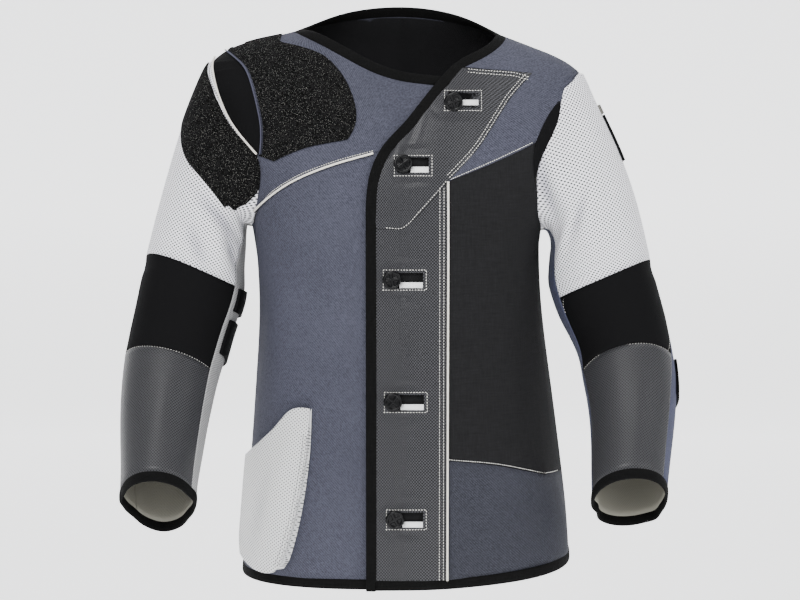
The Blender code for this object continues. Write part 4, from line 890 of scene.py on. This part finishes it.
# ---- tabs and straps ------------------------------------------------------------------------------
# Short stretch tabs sewn flat on the left sleeve, the upper one with a grey leather end, and two black
# straps across the back of the right arm above and below the elbow.
TAB_THICK = 0.0034
for name, node, material, slot, flat, area, under, cut, forward in (
    ("arm_tab", "left_arm_tab", black_knit, "black_stretch", (0.060, 0.066), 0.0036,
     "left_upper", -90.0, 0.009),
    ("arm_tab_end", "left_arm_tab_tip", grey_leather, "grey_leather", (0.057, 0.013), 0.0007,
     "left_upper", -90.0, 0.009),
    ("wrist_tab", "left_forearm_tab", black_knit, "black_stretch", (0.042, 0.061), 0.0024,
     "left_under_cloth", 90.0, 0.0),
    ("elbow_strap_1", "right_elbow_strap_1", black_knit, "black_stretch", (0.102, 0.039), 0.0035,
     "right_under_cloth", 90.0, 0.0),
    ("elbow_strap_2", "right_elbow_strap_2", black_knit, "black_stretch", (0.099, 0.061), 0.0053,
     "right_under_cloth", 90.0, 0.0),
):
    made = dressed(smoothed(name, node, material, 3), sleeve_map(under.split("_")[0], cut))
    cut_piece(seated(made, bpy.data.objects[under], TAB_THICK, lambda point: Vector((0.0, -forward, 0.0))))


# ---- sewing ---------------------------------------------------------------------------------------
# White topstitching along the main seams, in double rows beside the placket and in a box round each
# button slot, and close grey rows on the pocket that also stand in as a painted shadow line at its
# bellows fold. Each stitch is a short thread that lies on the cloth.
def sewing_group():
    """Geometry nodes that lay short threads along the lines of a mesh."""
    group = bpy.data.node_groups.new("sewing", "GeometryNodeTree")
    keys = {}
    for name, kind in (("Geometry", "NodeSocketGeometry"), ("Pitch", "NodeSocketFloat"),
                       ("Thread", "NodeSocketVector"), ("Material", "NodeSocketMaterial")):
        keys[name] = group.interface.new_socket(name=name, in_out="INPUT", socket_type=kind).identifier
    group.interface.new_socket(name="Geometry", in_out="OUTPUT", socket_type="NodeSocketGeometry")

    def node(kind, settings=None, **sockets):
        made = group.nodes.new(kind)
        for name, value in (settings or {}).items():
            setattr(made, name, value)
        for name, value in sockets.items():
            socket = next(s for s in made.inputs if s.enabled and s.name == name)
            if isinstance(value, bpy.types.NodeSocket):
                group.links.new(value, socket)
            else:
                socket.default_value = value
        return made

    given = group.nodes.new("NodeGroupInput").outputs
    curve = node("GeometryNodeMeshToCurve", Mesh=given["Geometry"])
    even = node("GeometryNodeResampleCurve", {"mode": "LENGTH"}, Curve=curve.outputs["Curve"],
                Length=given["Pitch"])
    ball = node("GeometryNodeMeshUVSphere", Segments=6, Rings=5, Radius=0.5)
    along = node("GeometryNodeInputTangent")
    turn = node("FunctionNodeAlignRotationToVector", {"axis": "X"}, Vector=along.outputs["Tangent"])
    vary = node("FunctionNodeRandomValue", {"data_type": "FLOAT"}, Min=0.88, Max=1.08, Seed=7)
    length = node("ShaderNodeVectorMath", {"operation": "SCALE"}, Vector=given["Thread"],
                  Scale=next(s for s in vary.outputs if s.enabled))
    placed = node("GeometryNodeInstanceOnPoints", Points=even.outputs["Curve"], Instance=ball.outputs["Mesh"],
                  Rotation=turn.outputs["Rotation"], Scale=length.outputs["Vector"])
    real = node("GeometryNodeRealizeInstances", Geometry=placed.outputs["Instances"])
    smooth = node("GeometryNodeSetShadeSmooth", Geometry=real.outputs["Geometry"])
    dyed = node("GeometryNodeSetMaterial", Geometry=smooth.outputs["Geometry"], Material=given["Material"])
    node("NodeGroupOutput", Geometry=dyed.outputs["Geometry"])
    return group, keys


sewing, sewing_keys = sewing_group()


def stitched(name, lines, material, pitch=0.0036, thread=(0.0027, 0.0009, 0.0009)):
    """Rows of stitches along lines of points."""
    points, edges = [], []
    for line in lines:
        edges += [(len(points) + i, len(points) + i + 1) for i in range(len(line) - 1)]
        points += [tuple(point) for point in line]
    mesh = bpy.data.meshes.new(name)
    mesh.from_pydata(points, edges, [])
    made = bpy.data.objects.new(name, mesh)
    bpy.context.scene.collection.objects.link(made)
    sew = made.modifiers.new("sewing", "NODES")
    sew.node_group = sewing
    for key, value in (("Pitch", pitch), ("Thread", thread), ("Material", material)):
        sew[sewing_keys[key]] = value
    bpy.context.view_layer.update()
    rows = bpy.data.meshes.new_from_object(made.evaluated_get(bpy.context.evaluated_depsgraph_get()))
    bpy.data.objects.remove(made)
    rows.name = name
    return added(name, rows, material)


def curved(points, step=0.003):
    """Points about a step apart on the smooth line through a few points of the front view."""
    points = np.array(points, float)
    runs = lengths(points)
    slopes = np.gradient(points, runs, axis=0)
    made = []
    for spot in np.linspace(0.0, runs[-1], max(2, int(runs[-1] / step) + 1)):
        i = min(int(np.searchsorted(runs, spot, side="right")) - 1, len(points) - 2)
        width = runs[i + 1] - runs[i]
        t = (spot - runs[i]) / width
        made.append((2 * t**3 - 3 * t**2 + 1) * points[i] + (t**3 - 2 * t**2 + t) * width * slopes[i]
                    + (3 * t**2 - 2 * t**3) * points[i + 1] + (t**3 - t**2) * width * slopes[i + 1])
    return np.array(made)


def beside(line, distance):
    """A line of the front view, moved to its left by a distance."""
    way = units(np.gradient(line, axis=0))
    return line + np.stack([-way[:, 1], way[:, 0]], axis=1) * distance


def cast(tree, line, lift=0.0002):
    """Points of the front view laid on the cloth behind them."""
    found = []
    for x, z in line:
        hit, normal = tree.ray_cast(Vector((x, -1.0, z)), Vector((0.0, 1.0, 0.0)))[:2]
        if hit is not None:
            found.append(hit + normal * lift * (-1.0 if normal.y > 0.0 else 1.0))
    return found


def thread_of(name, colour, dark):
    """Twisted sewing thread."""
    graph = Graph(name)
    twist = graph.noise(1400.0, 2.0)
    return graph.finish(Base_Color=graph.mix(twist, dark, colour), Roughness=0.6,
                        Normal=graph.bump(twist, 0.0002, 0.6))


white_thread = thread_of("white_thread", tone(232, 230, 224), tone(188, 186, 180))
fronts = tree_of(right_yoke, right_front, left_yoke, left_side, left_hem, placket_top, placket_foot)
top_tree = tree_of(placket_top)


def edge_spot(tree, x, z, side=0.0, rise=0.0):
    """Where a piece ends in the front view, marching sideways or up from a place inside it."""
    while tree.ray_cast(Vector((x, -1.0, z)), Vector((0.0, 1.0, 0.0)))[0] is not None:
        x, z = x + side, z + rise
    return x, z


STEP = 0.0005
diagonal = np.array([edge_spot(top_tree, 0.144 + 0.55 * z, z, side=STEP)
                     for z in np.linspace(-0.183, -0.0575, 48)])
head = [edge_spot(top_tree, x, -0.070, rise=STEP) for x in np.linspace(0.088, 0.140, 18)]
head = curved(head + [(0.164, -0.0535)])
placket_rows = [cast(fronts, beside(line, sign * inset))
                for line, sign in ((diagonal, 1.0), (head, -1.0)) for inset in (0.0022, 0.0062)]
seam_line = curved(((-0.0165, -0.2466), (0.0038, -0.2465), (0.0125, -0.2403), (0.0244, -0.2272),
                    (0.0363, -0.2141), (0.0481, -0.2010), (0.0585, -0.1888)))
placket_rows.append(cast(fronts, beside(seam_line, 0.0020)))
for inset in (0.0042, 0.0094):
    placket_rows.append(cast(fronts, [(0.0592 - inset, z) for z in np.linspace(-0.1960, -0.7000, 160)]))
for x, z, end in BUTTON_SPOTS:
    left, right, low, high = x - 0.0108, end + 0.0040, z - 0.0132, z + 0.0120
    corners = ((left, low), (right, low), (right, high), (left, high), (left, low))
    box = [np.array(a) + (np.array(b) - np.array(a)) * s for a, b in zip(corners, corners[1:])
           for s in np.linspace(0.0, 1.0, 12, endpoint=False)]
    placket_rows.append(cast(fronts, box + [np.array(corners[0])]))
stitched("placket_stitches", placket_rows, white_thread)

chest_row = curved(((-0.1770, -0.2165), (-0.1687, -0.2070), (-0.1353, -0.1838), (-0.0855, -0.1633),
                    (-0.0350, -0.1492)))
yoke_row = beside(curved(((0.0620, -0.1868), (0.1165, -0.1640), (0.1680, -0.1410))), 0.0016)
side_row = beside(curved(((0.0625, -0.5397), (0.1274, -0.5493), (0.2080, -0.5750))), 0.0022)
stitched("front_stitches", [cast(fronts, chest_row), cast(fronts, yoke_row), cast(fronts, side_row)],
                 white_thread, 0.0031, (0.0024, 0.0010, 0.0010))

pocket_tree = tree_of(pocket)
pocket_edge = np.array([edge_spot(pocket_tree, -0.165, z, side=STEP)
                        for z in np.linspace(-0.484, -0.676, 60)])
# painted shadow: these two close grey rows, almost solid lines, stand in for the shadow gap along the fold
# where the pocket's face meets its bellows, as well as for its stitching
pocket_rows = [cast(pocket_tree, beside(pocket_edge, -inset)) for inset in (0.0024, 0.0064)]
grey_thread_painted_shadow = thread_of("grey_thread_painted_shadow", tone(112, 112, 114), tone(80, 80, 82))
stitched("pocket_stitches_and_shadow_line", pocket_rows, grey_thread_painted_shadow, 0.0022, (0.0021, 0.0009, 0.0009))


def border_row(made, top, inset):
    """Points along the top or bottom border of a sleeve piece, a little way in from its edge."""
    spots = cloth_rows(made.data)
    points = coordinates(made.data)[spots[:, 2] > 0.5]
    spots = spots[spots[:, 2] > 0.5]
    sign = 1.0 if top else -1.0
    bins = np.linspace(spots[:, 0].min() + 0.004, spots[:, 0].max() - 0.004, 48)
    edge = []
    for across in bins:
        near = spots[abs(spots[:, 0] - across) < 0.004]
        edge.append((near[:, 1] * sign).max() * sign)
    edge = np.convolve(np.pad(edge, 3, mode="edge"), np.ones(7) / 7, mode="valid")
    tree, search = tree_of(made), KDTree(len(spots))
    for index, spot in enumerate(spots):
        search.insert((spot[0], spot[1], 0.0), index)
    search.balance()
    line = []
    for across, up in zip(bins, edge):
        found = search.find_n((across, up - sign * inset, 0.0), 4)
        weights = np.array([1.0 / (gap + 1e-4) for _, _, gap in found])
        point = (points[[index for _, index, _ in found]] * weights[:, None]).sum(axis=0) / weights.sum()
        hit, normal = tree.find_nearest(Vector(point))[:2]
        line.append(hit + normal * 0.0002)
    return line


elbow_rows = [border_row(sleeve_pieces[side + "_elbow"], top, 0.0022)
              for side in ("right", "left") for top in (True, False)]
stitched("elbow_stitches", elbow_rows, white_thread, 0.0036, (0.0020, 0.0006, 0.0006))
